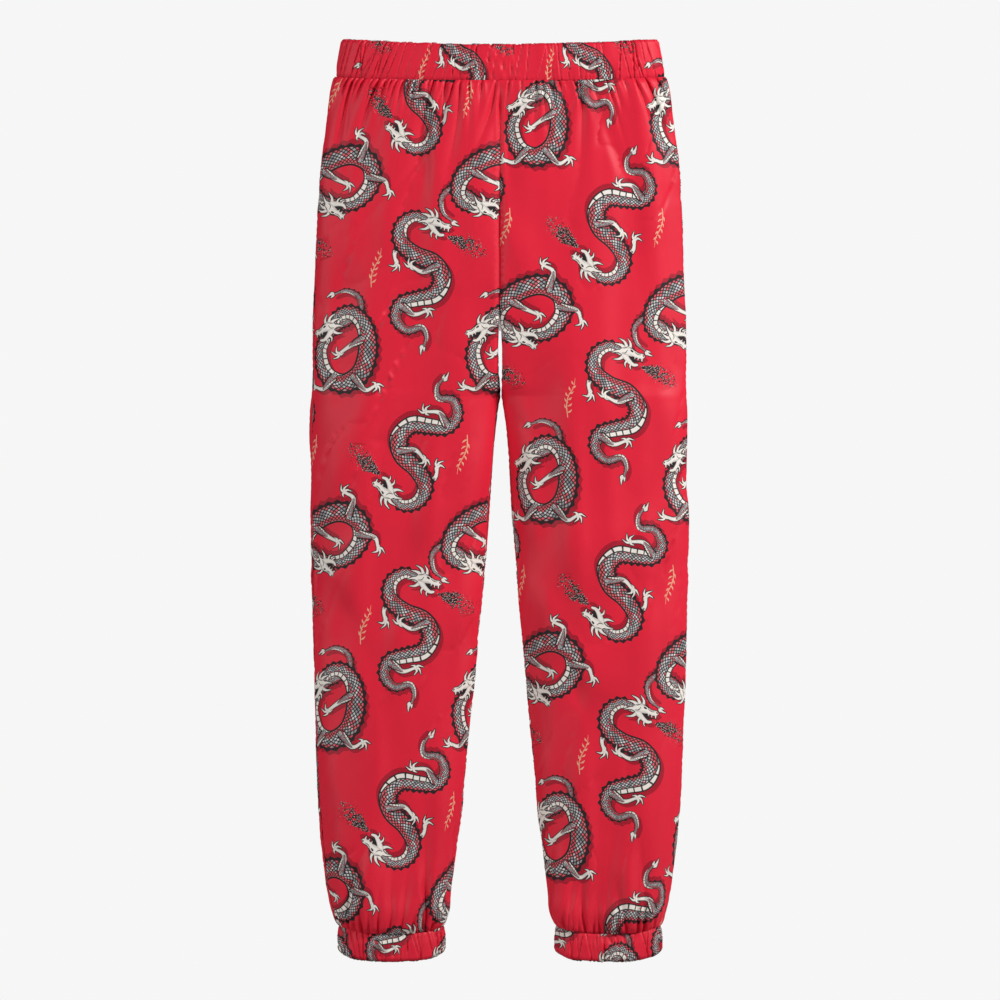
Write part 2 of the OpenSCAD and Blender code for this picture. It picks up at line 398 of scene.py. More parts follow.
def striding() -> Serpent:
    """A serpent in a long S, its tail below."""
    body = Stroke(
        [(6, 42), (-6, 47), (-17, 40), (-18, 26), (-6, 15), (10, 8), (18, -5), (12, -19)]
        + [(-3, -23), (-17, -27), (-21, -39), (-12, -49), (1, -47), (5, -55), (3, -63)],
        [3.6, 4.6, 5.8, 6.6, 7.4, 7.8, 8.0, 7.5, 6.7, 5.8, 4.7, 3.6, 2.7, 1.9, 1.1],
        Ink.SCALES,
        crest=2.3,
        per_span=6,
    )
    pale, lines = head((8, 42), -20)
    return Serpent(
        [body],
        under=[*limb([(-14, 26), (-23, 17), (-22, 7)], -70), *tuft((3, -62), -120, 0.9)],
        over=[
            *limb([(13, 5), (1, 0), (-9, 5)], 150),
            *limb([(-16, -29), (-6, -36), (5, -33)], 0),
            *pale,
        ],
        lines=lines,
        smoke=((35, 25), (11, 11)),
    )


def coiled() -> Serpent:
    """A serpent wound into a ring, its tail above."""
    ring = Stroke(
        [(-10, 26), (-5, 35), (7, 37), (18, 26), (21, 6)]
        + [(15, -13), (0, -22), (-15, -15), (-21, 3), (-16, 17)],
        [3.8, 5.0, 6.2, 7.4, 8.4, 8.6, 8.2, 7.4, 6.2, 4.9],
        Ink.SCALES,
        crest=2.3,
        crest_side=1,
        per_span=6,
    )
    tail = Stroke(
        [(-16, 17), (-6, 27), (4, 31), (14, 40), (12, 51), (1, 56), (-9, 53)],
        [4.9, 4.3, 3.8, 3.2, 2.5, 1.8, 1.0],
        Ink.SCALES,
        crest=1.8,
        per_span=6,
    )
    pale, lines = head((-12, 25), 205, 0.95, flip=True)
    return Serpent(
        [tail, ring],
        under=tuft((-9, 53), 190, 0.8),
        over=[
            *limb([(-9, -17), (-19, -27), (-28, -25)], 195),
            *limb([(9, -17), (19, -28), (28, -24)], -15),
            *limb([(16, 15), (5, 9), (-4, 3)], 215),
            *pale,
        ],
        lines=lines,
    )


def sprig() -> Serpent:
    """A small plain sprig of leaves."""
    stem = [(-17, -2), (-8, 0.8), (0, 0.4), (9, -1.6), (17, -0.6)]
    leaves = [Stroke(stem, [0.35, 0.45, 0.4, 0.3, 0.12], Ink.LEAF, per_span=3)]
    for k, x in enumerate((-12, -6.5, -1, 4.5, 10)):
        for side in (1, -1):
            root = (x + 1.4 * side, 0.3 - 0.09 * abs(x + 2))
            long = 5.2 - 0.45 * k
            leaf = [root, turned(root, 56 * side, long * 0.5, 0), turned(root, 42 * side, long, 0)]
            leaves.append(Stroke(leaf, [0.2, 0.75, 0.1], Ink.LEAF, per_span=2))
    return Serpent([], lines=leaves)


ORNAMENTS = {Spot.STRIDING: striding(), Spot.COILED: coiled(), Spot.SPRIG: sprig()}
LAYERS = {spot: ornament.layers() for spot, ornament in ORNAMENTS.items()}


@dataclass(frozen=True)
class Print:
    """Where the ornaments fall on a flat cut: columns of serpents, every other one turned.

    Attributes:
        start: Place of one striding serpent on the cut, in millimetres.
        column: Distance between two columns.
        step: Distance between two serpents of a column.
        stagger: How much lower the coiled columns start.
        turned: Turn of every other striding and coiled serpent, in degrees.
        reach: Half the size of the largest ornament, with room to spare.
        sprig: Place of a sprig from a striding serpent.
        sprig_turn: Its turn.
    """

    start: tuple[float, float] = (0.0, 0.0)
    column: float = 66.0
    step: float = 151.0
    stagger: float = 72.0
    turned: tuple[float, float] = (160.0, 122.0)
    reach: float = 72.0
    sprig: tuple[float, float] = (-40.0, 4.0)
    sprig_turn: float = 74.0

    def placed(self, low: np.ndarray, high: np.ndarray) -> list[tuple[Spot, np.ndarray, float]]:
        """Every ornament that may reach a flat box.

        Args:
            low: The box's lowest corner.
            high: The box's highest corner.

        Returns:
            The ornaments, each with its centre and its turn in degrees.
        """
        out = []
        (left, foot), (right, head_end) = low - self.reach, high + self.reach
        first, last = (math.floor((v - self.start[0]) / self.column) for v in (left, right))
        for i in range(first, last + 2):
            odd = i % 2
            x = self.start[0] + i * self.column
            top = self.start[1] - odd * self.stagger
            k0, k1 = (math.floor((top - v) / self.step) for v in (head_end, foot))
            for k in range(k0, k1 + 2):
                turn = self.turned[odd] if k % 2 else 0.0
                centre = np.array([x, top - k * self.step])
                out.append((Spot.COILED if odd else Spot.STRIDING, centre, turn))
                if not odd:
                    side = -1 if k % 2 else 1
                    turn = self.sprig_turn + 90 * (1 - side)
                    out.append((Spot.SPRIG, centre + side * np.array(self.sprig), turn))
        return out


# ---------------------------------------------------------------- the garment's form


@dataclass(frozen=True)
class Form:
    """The hung garment's shape, in millimetres. A drop is a distance below the waistband's top edge.

    Attributes:
        waist_seam: Drop of the seam between the waistband and the panels.
        cuff_top: Drop of the seam between the panels and the cuffs.
        hem: Drop of the cuffs' folded ends.
        cuff_middle: Distance of a cuff's middle from the middle of the garment.
        cuff_half: Half-width of a cuff.
        cuff_depth: Half-depth of a cuff.
        waist_half: Half-width at the waist seam.
        waist_depth: Half-depth at the waist seam.
        seat_depth: Half-depth of the back at the seat.
        crotch: Drop of the crotch.
        hip_half: Half-width at the hips.
        hip_depth: Half-depth at the hips.
        calf_slimming: How much shallower the leg is than the hips.
        waist_gather: How much narrower the waist is than the hips.
        gather_fade: Distance over which that fades.
        rise_curve: Height over which the hips part into two legs.
        taper_drop: Drop where the outside of the leg starts to taper.
        inner_drop: Drop where the inside of the leg starts to taper.
        side_power: Power of the oval's ends.
        face_power: Power of its faces.
    """

    waist_seam: float
    cuff_top: float
    hem: float
    cuff_middle: float
    cuff_half: float
    cuff_depth: float
    waist_half: float
    waist_depth: float
    seat_depth: float
    crotch: float = 298.0
    hip_half: float = 159.5
    hip_depth: float = 27.0
    calf_slimming: float = 6.0
    waist_gather: float = 18.5
    gather_fade: float = 80.0
    rise_curve: float = 95.0
    taper_drop: float = 498.0
    inner_drop: float = 400.0
    side_power: float = 2.5
    face_power: float = 1.8

    @classmethod
    def from_frame(cls) -> "Form":
        """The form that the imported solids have."""
        band_low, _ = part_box("waistband_front")
        _, top_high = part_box("waistband_back")
        cuff_low, cuff_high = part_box("left_cuff")
        _, seat_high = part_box("left_back_hip")
        return cls(
            waist_seam=-band_low.z / MM,
            cuff_top=-cuff_high.z / MM,
            hem=-cuff_low.z / MM,
            cuff_middle=(cuff_low.x + cuff_high.x) / 2 / MM,
            cuff_half=(cuff_high.x - cuff_low.x) / 2 / MM,
            cuff_depth=(cuff_high.y - cuff_low.y) / 2 / MM,
            waist_half=top_high.x / MM,
            waist_depth=top_high.y / MM,
            seat_depth=seat_high.y / MM,
        )

    def outer(self, d: np.ndarray) -> np.ndarray:
        """Half-width of the outside edge at a drop."""
        fall = self.hem - self.waist_seam - self.taper_drop
        edge = (
            self.hip_half
            - self.waist_gather * np.exp(-(d - self.waist_seam) / self.gather_fade)
            - 12 * (np.maximum(0, d - self.taper_drop) / fall) ** 1.3
            - 10.4 * np.exp((d - self.cuff_top) / 30)
        )
        wobble = 0.9 * soft_noise(d / 37, 0.5, 11) + 0.5 * soft_noise(d / 13, 4.5, 12)
        inside = ease((d - self.waist_seam) / 20) * ease((self.cuff_top - d) / 20)
        return edge + wobble * inside - 0.7 * np.exp(-(d - self.waist_seam) / 2.5)

    def inner(self, d: np.ndarray) -> np.ndarray:
        """Distance of the inside leg edge from the middle at a drop, 0 above the crotch."""
        fall = self.hem - self.waist_seam - self.inner_drop
        edge = (
            11 * (1 - np.exp(-(d - self.crotch) / 60))
            + 31 * (np.maximum(0, d - self.inner_drop) / fall) ** 1.35
            + 4.4 * np.exp((d - self.cuff_top) / 12)
        )
        wobble = 0.7 * soft_noise(d / 31, 8.5, 13) * ease((d - self.crotch) / 40)
        return np.where(d <= self.crotch, 0, edge + wobble * ease((self.cuff_top - d) / 20))

    def depth(self, d: np.ndarray, face: int) -> np.ndarray:
        """Half-depth of the front or the back at a drop."""
        gathered = 22
        base = (
            gathered
            + (self.hip_depth - gathered) * (1 - np.exp(-(d - self.waist_seam) / 60))
            - self.calf_slimming * ease((d - self.crotch) / 400)
            - (self.hip_depth - self.calf_slimming - self.cuff_depth) * np.exp((d - self.cuff_top) / 25)
            + 1.0 * np.exp(-(d - self.waist_seam) / 12)
        )
        if face == BACK:
            base = base + (self.seat_depth - self.hip_depth) * np.exp(-(((d - 200) / 90) ** 2))
        return base

    def forked(self, d: np.ndarray) -> np.ndarray:
        """0 where the hips are one oval, 1 where each leg is its own."""
        t = np.clip((d - self.crotch + self.rise_curve) / self.rise_curve, 0, 1)
        return 1 - np.sqrt(1 - t * t)

    def oval(self, u: np.ndarray) -> np.ndarray:
        """Depth of the oval at a share of its half-width."""
        return np.maximum(0, 1 - np.minimum(1, np.abs(u)) ** self.side_power) ** (1 / self.face_power)

    def settled(self, x: np.ndarray, drop: np.ndarray) -> np.ndarray:
        """Where a drop hangs once the elastics have drawn the waist and the cuffs into their curves.

        Args:
            x: Distances from the middle of the garment.
            drop: Drops before that.

        Returns:
            The drops after it.
        """
        waist = np.clip(np.abs(x) / self.waist_half, 0, 1)
        above = np.clip(drop / self.waist_seam, 0, 1)
        fade = np.exp(-np.maximum(0, drop - self.waist_seam) / 30)
        dip = 4.8 * (1 - waist**1.7) * (1 - above) + 2.6 * (1 - waist**3) * above * fade
        leg = np.clip(np.abs(np.abs(x) - self.cuff_middle) / self.cuff_half, 0, 1)
        below = np.clip((drop - self.cuff_top) / (self.hem - self.cuff_top), 0, 1)
        fade = np.exp(np.minimum(0, drop - self.cuff_top) / 28)
        sag = (2.2 - 7.0 * leg**3) * (1 - below) * fade - 9.0 * leg**4 * below
        return drop + dip + sag

    def ring(self, angle: np.ndarray, middle: float, half: np.ndarray, depth: np.ndarray) -> tuple:
        """Points round an oval band.

        Args:
            angle: Where they are, in radians.
            middle: The oval's middle, across.
            half: Its half-width.
            depth: Its half-depth.

        Returns:
            The points' places across and front to back.
        """
        c, s = np.cos(angle), np.sin(angle)
        x = middle + half * np.sign(c) * np.abs(c) ** (2 / self.side_power)
        return x, depth * np.sign(s) * np.abs(s) ** (2 / self.face_power)


@dataclass
class Gathers:
    """Creases that run away from a gathered seam, each at its own place, slant and length.

    Attributes:
        spacing: Distance between two creases, on average, in millimetres.
        reach: Their length.
        depth: The deepest one's depth.
        width: Their width at the seam.
        seed: Picks them.
        slant: How much their directions differ.
        roll: Height of the roll beside a crease, as a share of its depth.
        lean: Direction of all of them, as a slope.
        fan: How much they spread from the middle to the ends.
        spread: How much wider they get with the distance.
        length_change: How much their lengths differ.
    """

    spacing: float
    reach: float
    depth: float
    width: float
    seed: int
    slant: float = 0.06
    roll: float = 0.5
    lean: float = 0.0
    fan: float = 0.0
    spread: float = 0.04
    length_change: float = 0.45

    def height(self, along: np.ndarray, away: np.ndarray) -> np.ndarray:
        """How far the cloth stands from its smooth form.

        Args:
            along: Distance along the seam, in millimetres.
            away: Distance from the seam.

        Returns:
            The height at each point, in millimetres.
        """
        draw = np.random.default_rng(self.seed)
        at = float(along.min()) - 8
        end = float(along.max()) + 8
        middle, half = (at + end) / 2, (end - at) / 2
        out = np.zeros(np.broadcast(along, away).shape)
        while at < end:
            deep = self.depth * draw.uniform(0.3, 1.0)
            reach = self.reach * float(np.clip(math.exp(draw.normal(0, self.length_change)), 0.35, 2.6))
            slant = self.lean + self.fan * (at - middle) / half + self.slant * draw.normal()
            bend = 0.004 * draw.normal()
            width = self.width * draw.uniform(0.7, 1.35) * (1 + away * self.spread)
            fade = deep * np.exp(-((away / reach) ** 1.5))
            x = (along - at - slant * away - bend * away**2 * 0.3) / width
            out -= fade * np.exp(-1.15 * (np.sqrt(x * x + 0.09) - 0.3))
            out += self.roll * fade * np.exp(-(((x - 2.2) / 1.5) ** 2))
            out += 0.6 * self.roll * fade * np.exp(-(((x + 2.4) / 1.7) ** 2))
            at += self.spacing * draw.uniform(0.45, 1.55)
        return out


@dataclass(frozen=True)
class Fold:
    """One long soft fold.

    Attributes:
        x: Its middle's distance from the middle of the garment, in millimetres.
        drop: Its middle's drop.
        turn: Its direction in degrees: 0 runs outwards, 90 runs down.
        reach: Half its length.
        width: Half its width.
        high: How far it stands out, or in if it is below 0.
    """

    x: float
    drop: float
    turn: float
    reach: float
    width: float
    high: float

    def height(self, x: np.ndarray, drop: np.ndarray) -> np.ndarray:
        """How far the fold moves the cloth at each point, steeper on its lower side."""
        c, s = math.cos(math.radians(self.turn)), math.sin(math.radians(self.turn))
        along = ((x - self.x) * c + (drop - self.drop) * s) / self.reach
        off = (-(x - self.x) * s + (drop - self.drop) * c) / self.width
        off = off + 0.25 * along * along
        side = np.where(off > 0, off, off * 0.55)
        return self.high * np.exp(-(along**2)) * np.exp(-(side**2))


# ---------------------------------------------------------------- cut, print and sew


@dataclass
class Cut:
    """One flat cut of printed cloth and the form it hangs in.

    Attributes:
        name: The piece's name.
        form: Points of the hung cloth seen from outside, in rows from the top and columns from the left.
        across: Flat distance of each of those points from left to right.
        heights: Flat height of each row, falling.
        pattern: Where the print falls.
        spacing: Distance between the cloth's own points, in millimetres.
        fine_within: Distance from the two gathered ends within which they are closest together.
        fine: That closest distance.
        middling: Their distance within twice that distance from the ends.
        edge_step: Distance between points along the top and the foot.
        clear: How far the cloth's own points stay from the edge, and about how far from the print's.
        thickness: The cloth's thickness.
    """

    name: str
    form: np.ndarray
    across: np.ndarray
    heights: np.ndarray
    pattern: Print
    spacing: float = 3.4
    fine_within: float = 34.0
    fine: float = 0.9
    middling: float = 1.7
    edge_step: float = 2.5
    clear: tuple[float, float] = (0.9, 1.6)
    thickness: float = 0.3

    def outline(self) -> np.ndarray:
        """The flat cut's edge, anticlockwise."""
        left, right = (np.column_stack([self.across[:, column], self.heights]) for column in (0, -1))

        def level(row: int, start: np.ndarray, end: np.ndarray) -> np.ndarray:
            """Points along the first or the last row, between its corners."""
            steps = max(2, int((self.across[row, -1] - self.across[row, 0]) / self.edge_step))
            x = np.linspace(start[row, 0], end[row, 0], steps)[1:-1]
            return np.column_stack([x, np.full(steps - 2, self.heights[row])])

        return np.vstack([left, level(-1, left, right), right[::-1], level(0, right, left)])

    def area(self) -> float:
        """Area of the flat cut, in square millimetres."""
        p = self.outline()
        q = np.roll(p, -1, axis=0)
        return abs(float((p[:, 0] * q[:, 1] - q[:, 0] * p[:, 1]).sum() / 2))

    def cloth_points(self, edge: np.ndarray) -> np.ndarray:
        """Even points inside the cut, closer together near its gathered ends.

        Args:
            edge: The cut's edge.

        Returns:
            The flat points, clear of the edge.
        """
        low, high = edge.min(0), edge.max(0)
        rows = []
        y, row = high[1] - 0.8, 0
        while y > low[1]:
            end = min(high[1] - y, y - low[1])
            level = min(2, int(end / self.fine_within))
            step = (self.fine, self.middling, self.spacing)[level]
            x = np.arange(low[0] + step * (0.5 if row % 2 else 1.0), high[0], step)
            rows.append(np.column_stack([x, np.full(len(x), y)]))
            y -= 0.8 if end < 2.5 else max(1.9, 0.87 * step)
            row += 1
        points = np.vstack(rows)
        rows = np.arange(len(self.heights))
        at = np.interp(-points[:, 1], -self.heights, rows)
        left, right = (np.interp(at, rows, self.across[:, column]) for column in (0, -1))
        clear = self.clear[0]
        return points[(points[:, 0] > left + clear) & (points[:, 0] < right - clear)]

    def inked(self) -> list[tuple[np.ndarray, float, list]]:
        """The ornaments that reach this cut.

        Returns:
            Each one's centre, turn, and outlines from the bottom up with their inks and strokes.
        """
        edge = self.outline()
        low, high = edge.min(0), edge.max(0)
        out = []
        for spot, centre, turn in self.pattern.placed(low, high):
            placed = [(loop @ spin(turn) + centre, ink, stroke) for loop, ink, stroke in LAYERS[spot]]
            near = [row for row in placed if (row[0].max(0) > low).all() and (row[0].min(0) < high).all()]
            if near:
                out.append((centre, turn, near))
        return out

    def triangles(self, loops: list[np.ndarray], avoid: np.ndarray) -> tuple[np.ndarray, np.ndarray, list]:
        """Triangles over the inside of the first loop, with an edge along every loop.

        Args:
            loops: Closed outlines, the cut's own edge first.
            avoid: Points that the cloth's own points keep clear of.

        Returns:
            The flat points, the triangles, and the input points that each flat point stands for.
        """
        own = self.cloth_points(loops[0])
        if len(avoid):
            taken, mine = (np.round(p / self.clear[1]).astype(int).tolist() for p in (avoid, own))
            cells = set(map(tuple, taken))
            keep = [tuple(cell) not in cells for cell in mine]
            own = own[np.array(keep, bool)]
        edges, count = [], 0
        for loop in loops:
            ring = np.arange(len(loop)) + count
            edges += list(zip(ring.tolist(), np.roll(ring, -1).tolist()))
            count += len(loop)
        given = [Vector(p) for p in np.vstack([*loops, own])]
        flat, _, faces, origins, *_ = delaunay_2d_cdt(given, edges, [], 0, 0.02, True)
        flat = np.array([(p.x, p.y) for p in flat])
        triangles = np.array([f for f in faces if len(f) == 3])
        triangles = triangles[winding(loops[0], flat[triangles].mean(1))]
        used, triangles = np.unique(triangles, return_inverse=True)
        flat, triangles = flat[used], triangles.reshape(-1, 3)
        corners = flat[triangles]
        one, two = corners[:, 1] - corners[:, 0], corners[:, 2] - corners[:, 0]
        back = one[:, 0] * two[:, 1] - one[:, 1] * two[:, 0] < 0
        triangles = np.where(back[:, None], triangles[:, ::-1], triangles)
        return flat, triangles, [origins[k] for k in used]

    def divided(self) -> tuple[np.ndarray, np.ndarray, np.ndarray, np.ndarray]:
        """Divides the flat cut along the print's outlines.

        Returns:
            The flat points, the triangles, each triangle's ink, and each corner's place on its stroke.
        """
        inked = self.inked()
        loops = [loop for *_, layers in inked for loop, *_ in layers]
        avoid = np.vstack(loops) if loops else np.zeros((0, 2))
        flat, triangles, _ = self.triangles([self.outline(), *loops], avoid)
        centres = flat[triangles].mean(1)
        ink = np.zeros(len(triangles), int)
        place = np.zeros((len(triangles), 3, 2))
        for centre, turn, layers in inked:
            everything = np.vstack([loop for loop, *_ in layers])
            low, high = everything.min(0), everything.max(0)
            near = np.flatnonzero(((centres >= low) & (centres <= high)).all(1))
            for loop, kind, stroke in layers:
                spot = centres[near]
                mine = near[((spot >= loop.min(0)) & (spot <= loop.max(0))).all(1)]
                if not len(mine):
                    continue
                mine = mine[winding(loop, centres[mine])]
                ink[mine] = kind
                if stroke is not None and len(mine):
                    local = (flat[triangles[mine]].reshape(-1, 2) - centre) @ spin(-turn)
                    place[mine] = stroke.locate(local).reshape(-1, 3, 2)
        return flat, triangles, ink, place

    def hung(self, flat: np.ndarray) -> np.ndarray:
        """Carries flat points onto the hung form, smoothly between its own points.

        Args:
            flat: Points of the flat cut.

        Returns:
            Their places in space, in millimetres.
        """
        rows, columns = self.across.shape
        r = np.interp(-flat[:, 1], -self.heights, np.arange(rows))
        j = np.minimum(r.astype(int), rows - 2)
        c = np.zeros(len(flat))
        for row in np.unique(j):
            mine = j == row
            low = np.interp(flat[mine, 0], self.across[row], np.arange(columns))
            high = np.interp(flat[mine, 0], self.across[row + 1], np.arange(columns))
            f = r[mine] - row
            c[mine] = low * (1 - f) + high * f
        i = np.minimum(c.astype(int), columns - 2)

        def weights(t: np.ndarray) -> list[np.ndarray]:
            """The four weights of a smooth curve through its points."""
            return [
                0.5 * (-t + 2 * t**2 - t**3),
                0.5 * (2 - 5 * t**2 + 3 * t**3),
                0.5 * (t + 4 * t**2 - 3 * t**3),
                0.5 * (-(t**2) + t**3),
            ]

        down, over = weights(r - j), weights(c - i)
        out = np.zeros((len(flat), 3))
        for a in range(4):
            for b in range(4):
                at = self.form[np.clip(j + a - 1, 0, rows - 1), np.clip(i + b - 1, 0, columns - 1)]
                out += (down[a] * over[b])[:, None] * at
        return out

    def raised(self, flat: np.ndarray, step: float = 0.25) -> tuple[np.ndarray, np.ndarray]:
        """Where flat points hang and which way the cloth faces there.

        Args:
            flat: Points of the flat cut.
            step: How far on each side of a point the slope is taken.

        Returns:
            Their places in space, and the cloth's outward directions.
        """
        right = self.hung(flat + (step, 0)) - self.hung(flat - (step, 0))
        upward = self.hung(flat + (0, step)) - self.hung(flat - (0, step))
        normal = np.cross(right, upward)
        normal /= np.maximum(np.linalg.norm(normal, axis=1), 1e-12)[:, None]
        return self.hung(flat), normal

    def build(self, outside: bpy.types.Material, inside: bpy.types.Material) -> bpy.types.Object:
        """Makes the hung cloth: its printed outside, its plain inside and the thin edge between them.

        Args:
            outside: The finish of the printed side.
            inside: The finish of the reverse.

        Returns:
            The piece, in metres, with its place in its mesh.
        """
        flat, triangles, ink, place = self.divided()
        n = len(flat)
        pairs = np.concatenate([triangles[:, [0, 1]], triangles[:, [1, 2]], triangles[:, [2, 0]]])
        _, first, counts = np.unique(np.sort(pairs, axis=1), axis=0, return_index=True, return_counts=True)
        follow = dict(pairs[first[counts == 1]].tolist())
        loop = [next(iter(follow))]
        while follow[loop[-1]] != loop[0]:
            loop.append(follow[loop[-1]])
        edge = np.array(loop)
        back, reverse, origins = self.triangles([flat[edge]], flat[edge])
        twin = np.zeros(len(edge), int)
        for k, stands_for in enumerate(origins):
            for origin in stands_for:
                if origin < len(edge):
                    twin[origin] = k + n
        a, b = edge, np.roll(edge, -1)
        c, d = twin, np.roll(twin, -1)
        rim = np.concatenate([np.column_stack([b, a, c]), np.column_stack([b, c, d])])
        rim = rim[(rim[:, 1] != rim[:, 2])]
        faces = np.concatenate([triangles, reverse[:, ::-1] + n, rim])
        outer, normal = self.raised(flat)
        inner, away = self.raised(back)
        inner = inner - away * self.thickness
        mesh = bpy.data.meshes.new(self.name)
        mesh.vertices.add(n + len(back))
        mesh.vertices.foreach_set("co", (np.vstack([outer, inner]) * MM).ravel())
        mesh.loops.add(3 * len(faces))
        mesh.loops.foreach_set("vertex_index", faces.ravel())
        mesh.polygons.add(len(faces))
        mesh.polygons.foreach_set("loop_start", np.arange(len(faces)) * 3)
        mesh.polygons.foreach_set("loop_total", np.full(len(faces), 3))
        plain = len(faces) - len(triangles)
        mesh.polygons.foreach_set("material_index", np.repeat([0, 1], [len(triangles), plain]))
        mesh.materials.append(outside)
        mesh.materials.append(inside)
        both = np.vstack([flat, back]) * MM
        strokes = np.concatenate([place, np.zeros((plain, 3, 2))])
        kinds = np.zeros((len(faces), 3, 2))
        kinds[: len(triangles), :, 0] = ink[:, None]
        for label, uv in (("cloth", both[faces.ravel()]), ("stroke", strokes), ("ink", kinds)):
            mesh.uv_layers.new(name=label).data.foreach_set("uv", uv.ravel())
        mesh.update()
        mesh.validate()
        mesh.polygons.foreach_set("use_smooth", np.ones(len(mesh.polygons), bool))
        mesh.normals_split_custom_set_from_vertices(np.vstack([normal, -away]).tolist())
        obj = bpy.data.objects.new(self.name, mesh)
        bpy.context.scene.collection.objects.link(obj)
        return obj


def mesh_piece(name: str, points: np.ndarray, faces: list, finish: bpy.types.Material) -> bpy.types.Object:
    """A smooth piece in one finish.

    Args:
        name: The piece's name.
        points: Its points, in millimetres.
        faces: Its faces, as lists of points.
        finish: Its finish.

    Returns:
        The piece.
    """
    mesh = bpy.data.meshes.new(name)
    mesh.from_pydata((np.asarray(points) * MM).tolist(), [], faces)
    mesh.materials.append(finish)
    mesh.polygons.foreach_set("use_smooth", np.ones(len(mesh.polygons), bool))
    obj = bpy.data.objects.new(name, mesh)
    bpy.context.scene.collection.objects.link(obj)
    return obj


def shell(
    name: str, one: np.ndarray, other: np.ndarray, wrap: bool, finish: bpy.types.Material
) -> bpy.types.Object:
    """A thin closed strip between two grids of points.

    Args:
        name: The piece's name.
        one: One face's points, in rows along the strip's width and columns along its length.
        other: The other face's points.
        wrap: True if the last column joins the first.
        finish: Its finish, which reads the UV map "cloth" in metres.

    Returns:
        The piece, its faces turned outwards.
    """
    rows, columns = one.shape[:2]
    size = rows * columns
    last = columns if wrap else columns - 1
    faces, places = [], []

    def face(*corners: tuple[int, int, int]) -> None:
        """Adds a face by its corners' layer, row and column."""
        faces.append([layer * size + i * columns + j % columns for layer, i, j in corners])
        places.append(corners)

    for j in range(last):
        for i in range(rows - 1):
            face((0, i, j), (0, i + 1, j), (0, i + 1, j + 1), (0, i, j + 1))
            face((1, i, j), (1, i, j + 1), (1, i + 1, j + 1), (1, i + 1, j))
        face((0, 0, j), (0, 0, j + 1), (1, 0, j + 1), (1, 0, j))
        face((0, rows - 1, j), (1, rows - 1, j), (1, rows - 1, j + 1), (0, rows - 1, j + 1))
    if not wrap:
        for i in range(rows - 1):
            face((0, i, 0), (1, i, 0), (1, i + 1, 0), (0, i + 1, 0))
            face((0, i, last), (0, i + 1, last), (1, i + 1, last), (1, i, last))
    points = np.vstack([one.reshape(-1, 3), other.reshape(-1, 3)])
    corners = points[[f[:3] for f in faces]] - points.mean(0)
    if (np.cross(corners[:, 0], corners[:, 1]) * corners[:, 2]).sum() < 0:
        faces, places = [f[::-1] for f in faces], [c[::-1] for c in places]
    obj = mesh_piece(name, points, faces, finish)
    length = distances(np.vstack([one[0], one[0, :1]])) * MM
    width = distances(one[:, 0]) * MM
    uv = [(length[j], width[i] + layer * 0.05) for corners in places for layer, i, j in corners]
    obj.data.uv_layers.new(name="cloth").data.foreach_set("uv", np.array(uv).ravel())
    return obj


def tube(name: str, path: np.ndarray, radius: float, finish: bpy.types.Material) -> bpy.types.Object:
    """A four-sided thread, its ends closed.

    Args:
        name: The piece's name.
        path: Points along its middle, in millimetres.
        radius: Its radius.
        finish: Its finish.

    Returns:
        The piece.
    """
    ahead = np.gradient(path, axis=0)
    ahead /= np.maximum(np.linalg.norm(ahead, axis=1), 1e-9)[:, None]
    guide = np.where(np.abs(ahead[:, 2:3]) > 0.9, (1.0, 0, 0), (0, 0, 1.0))
    side = np.cross(ahead, guide)
    side /= np.linalg.norm(side, axis=1)[:, None]
    up = np.cross(side, ahead)
    ring = np.stack([side, up, -side, -up], axis=1) * radius + path[:, None]
    count = len(path)
    faces = [[0, 3, 2, 1], [4 * (count - 1) + k for k in range(4)]]
    for i in range(count - 1):
        for k in range(4):
            n = (k + 1) % 4
            faces.append([4 * i + k, 4 * i + n, 4 * i + 4 + n, 4 * i + 4 + k])
    return mesh_piece(name, ring.reshape(-1, 3), faces, finish)


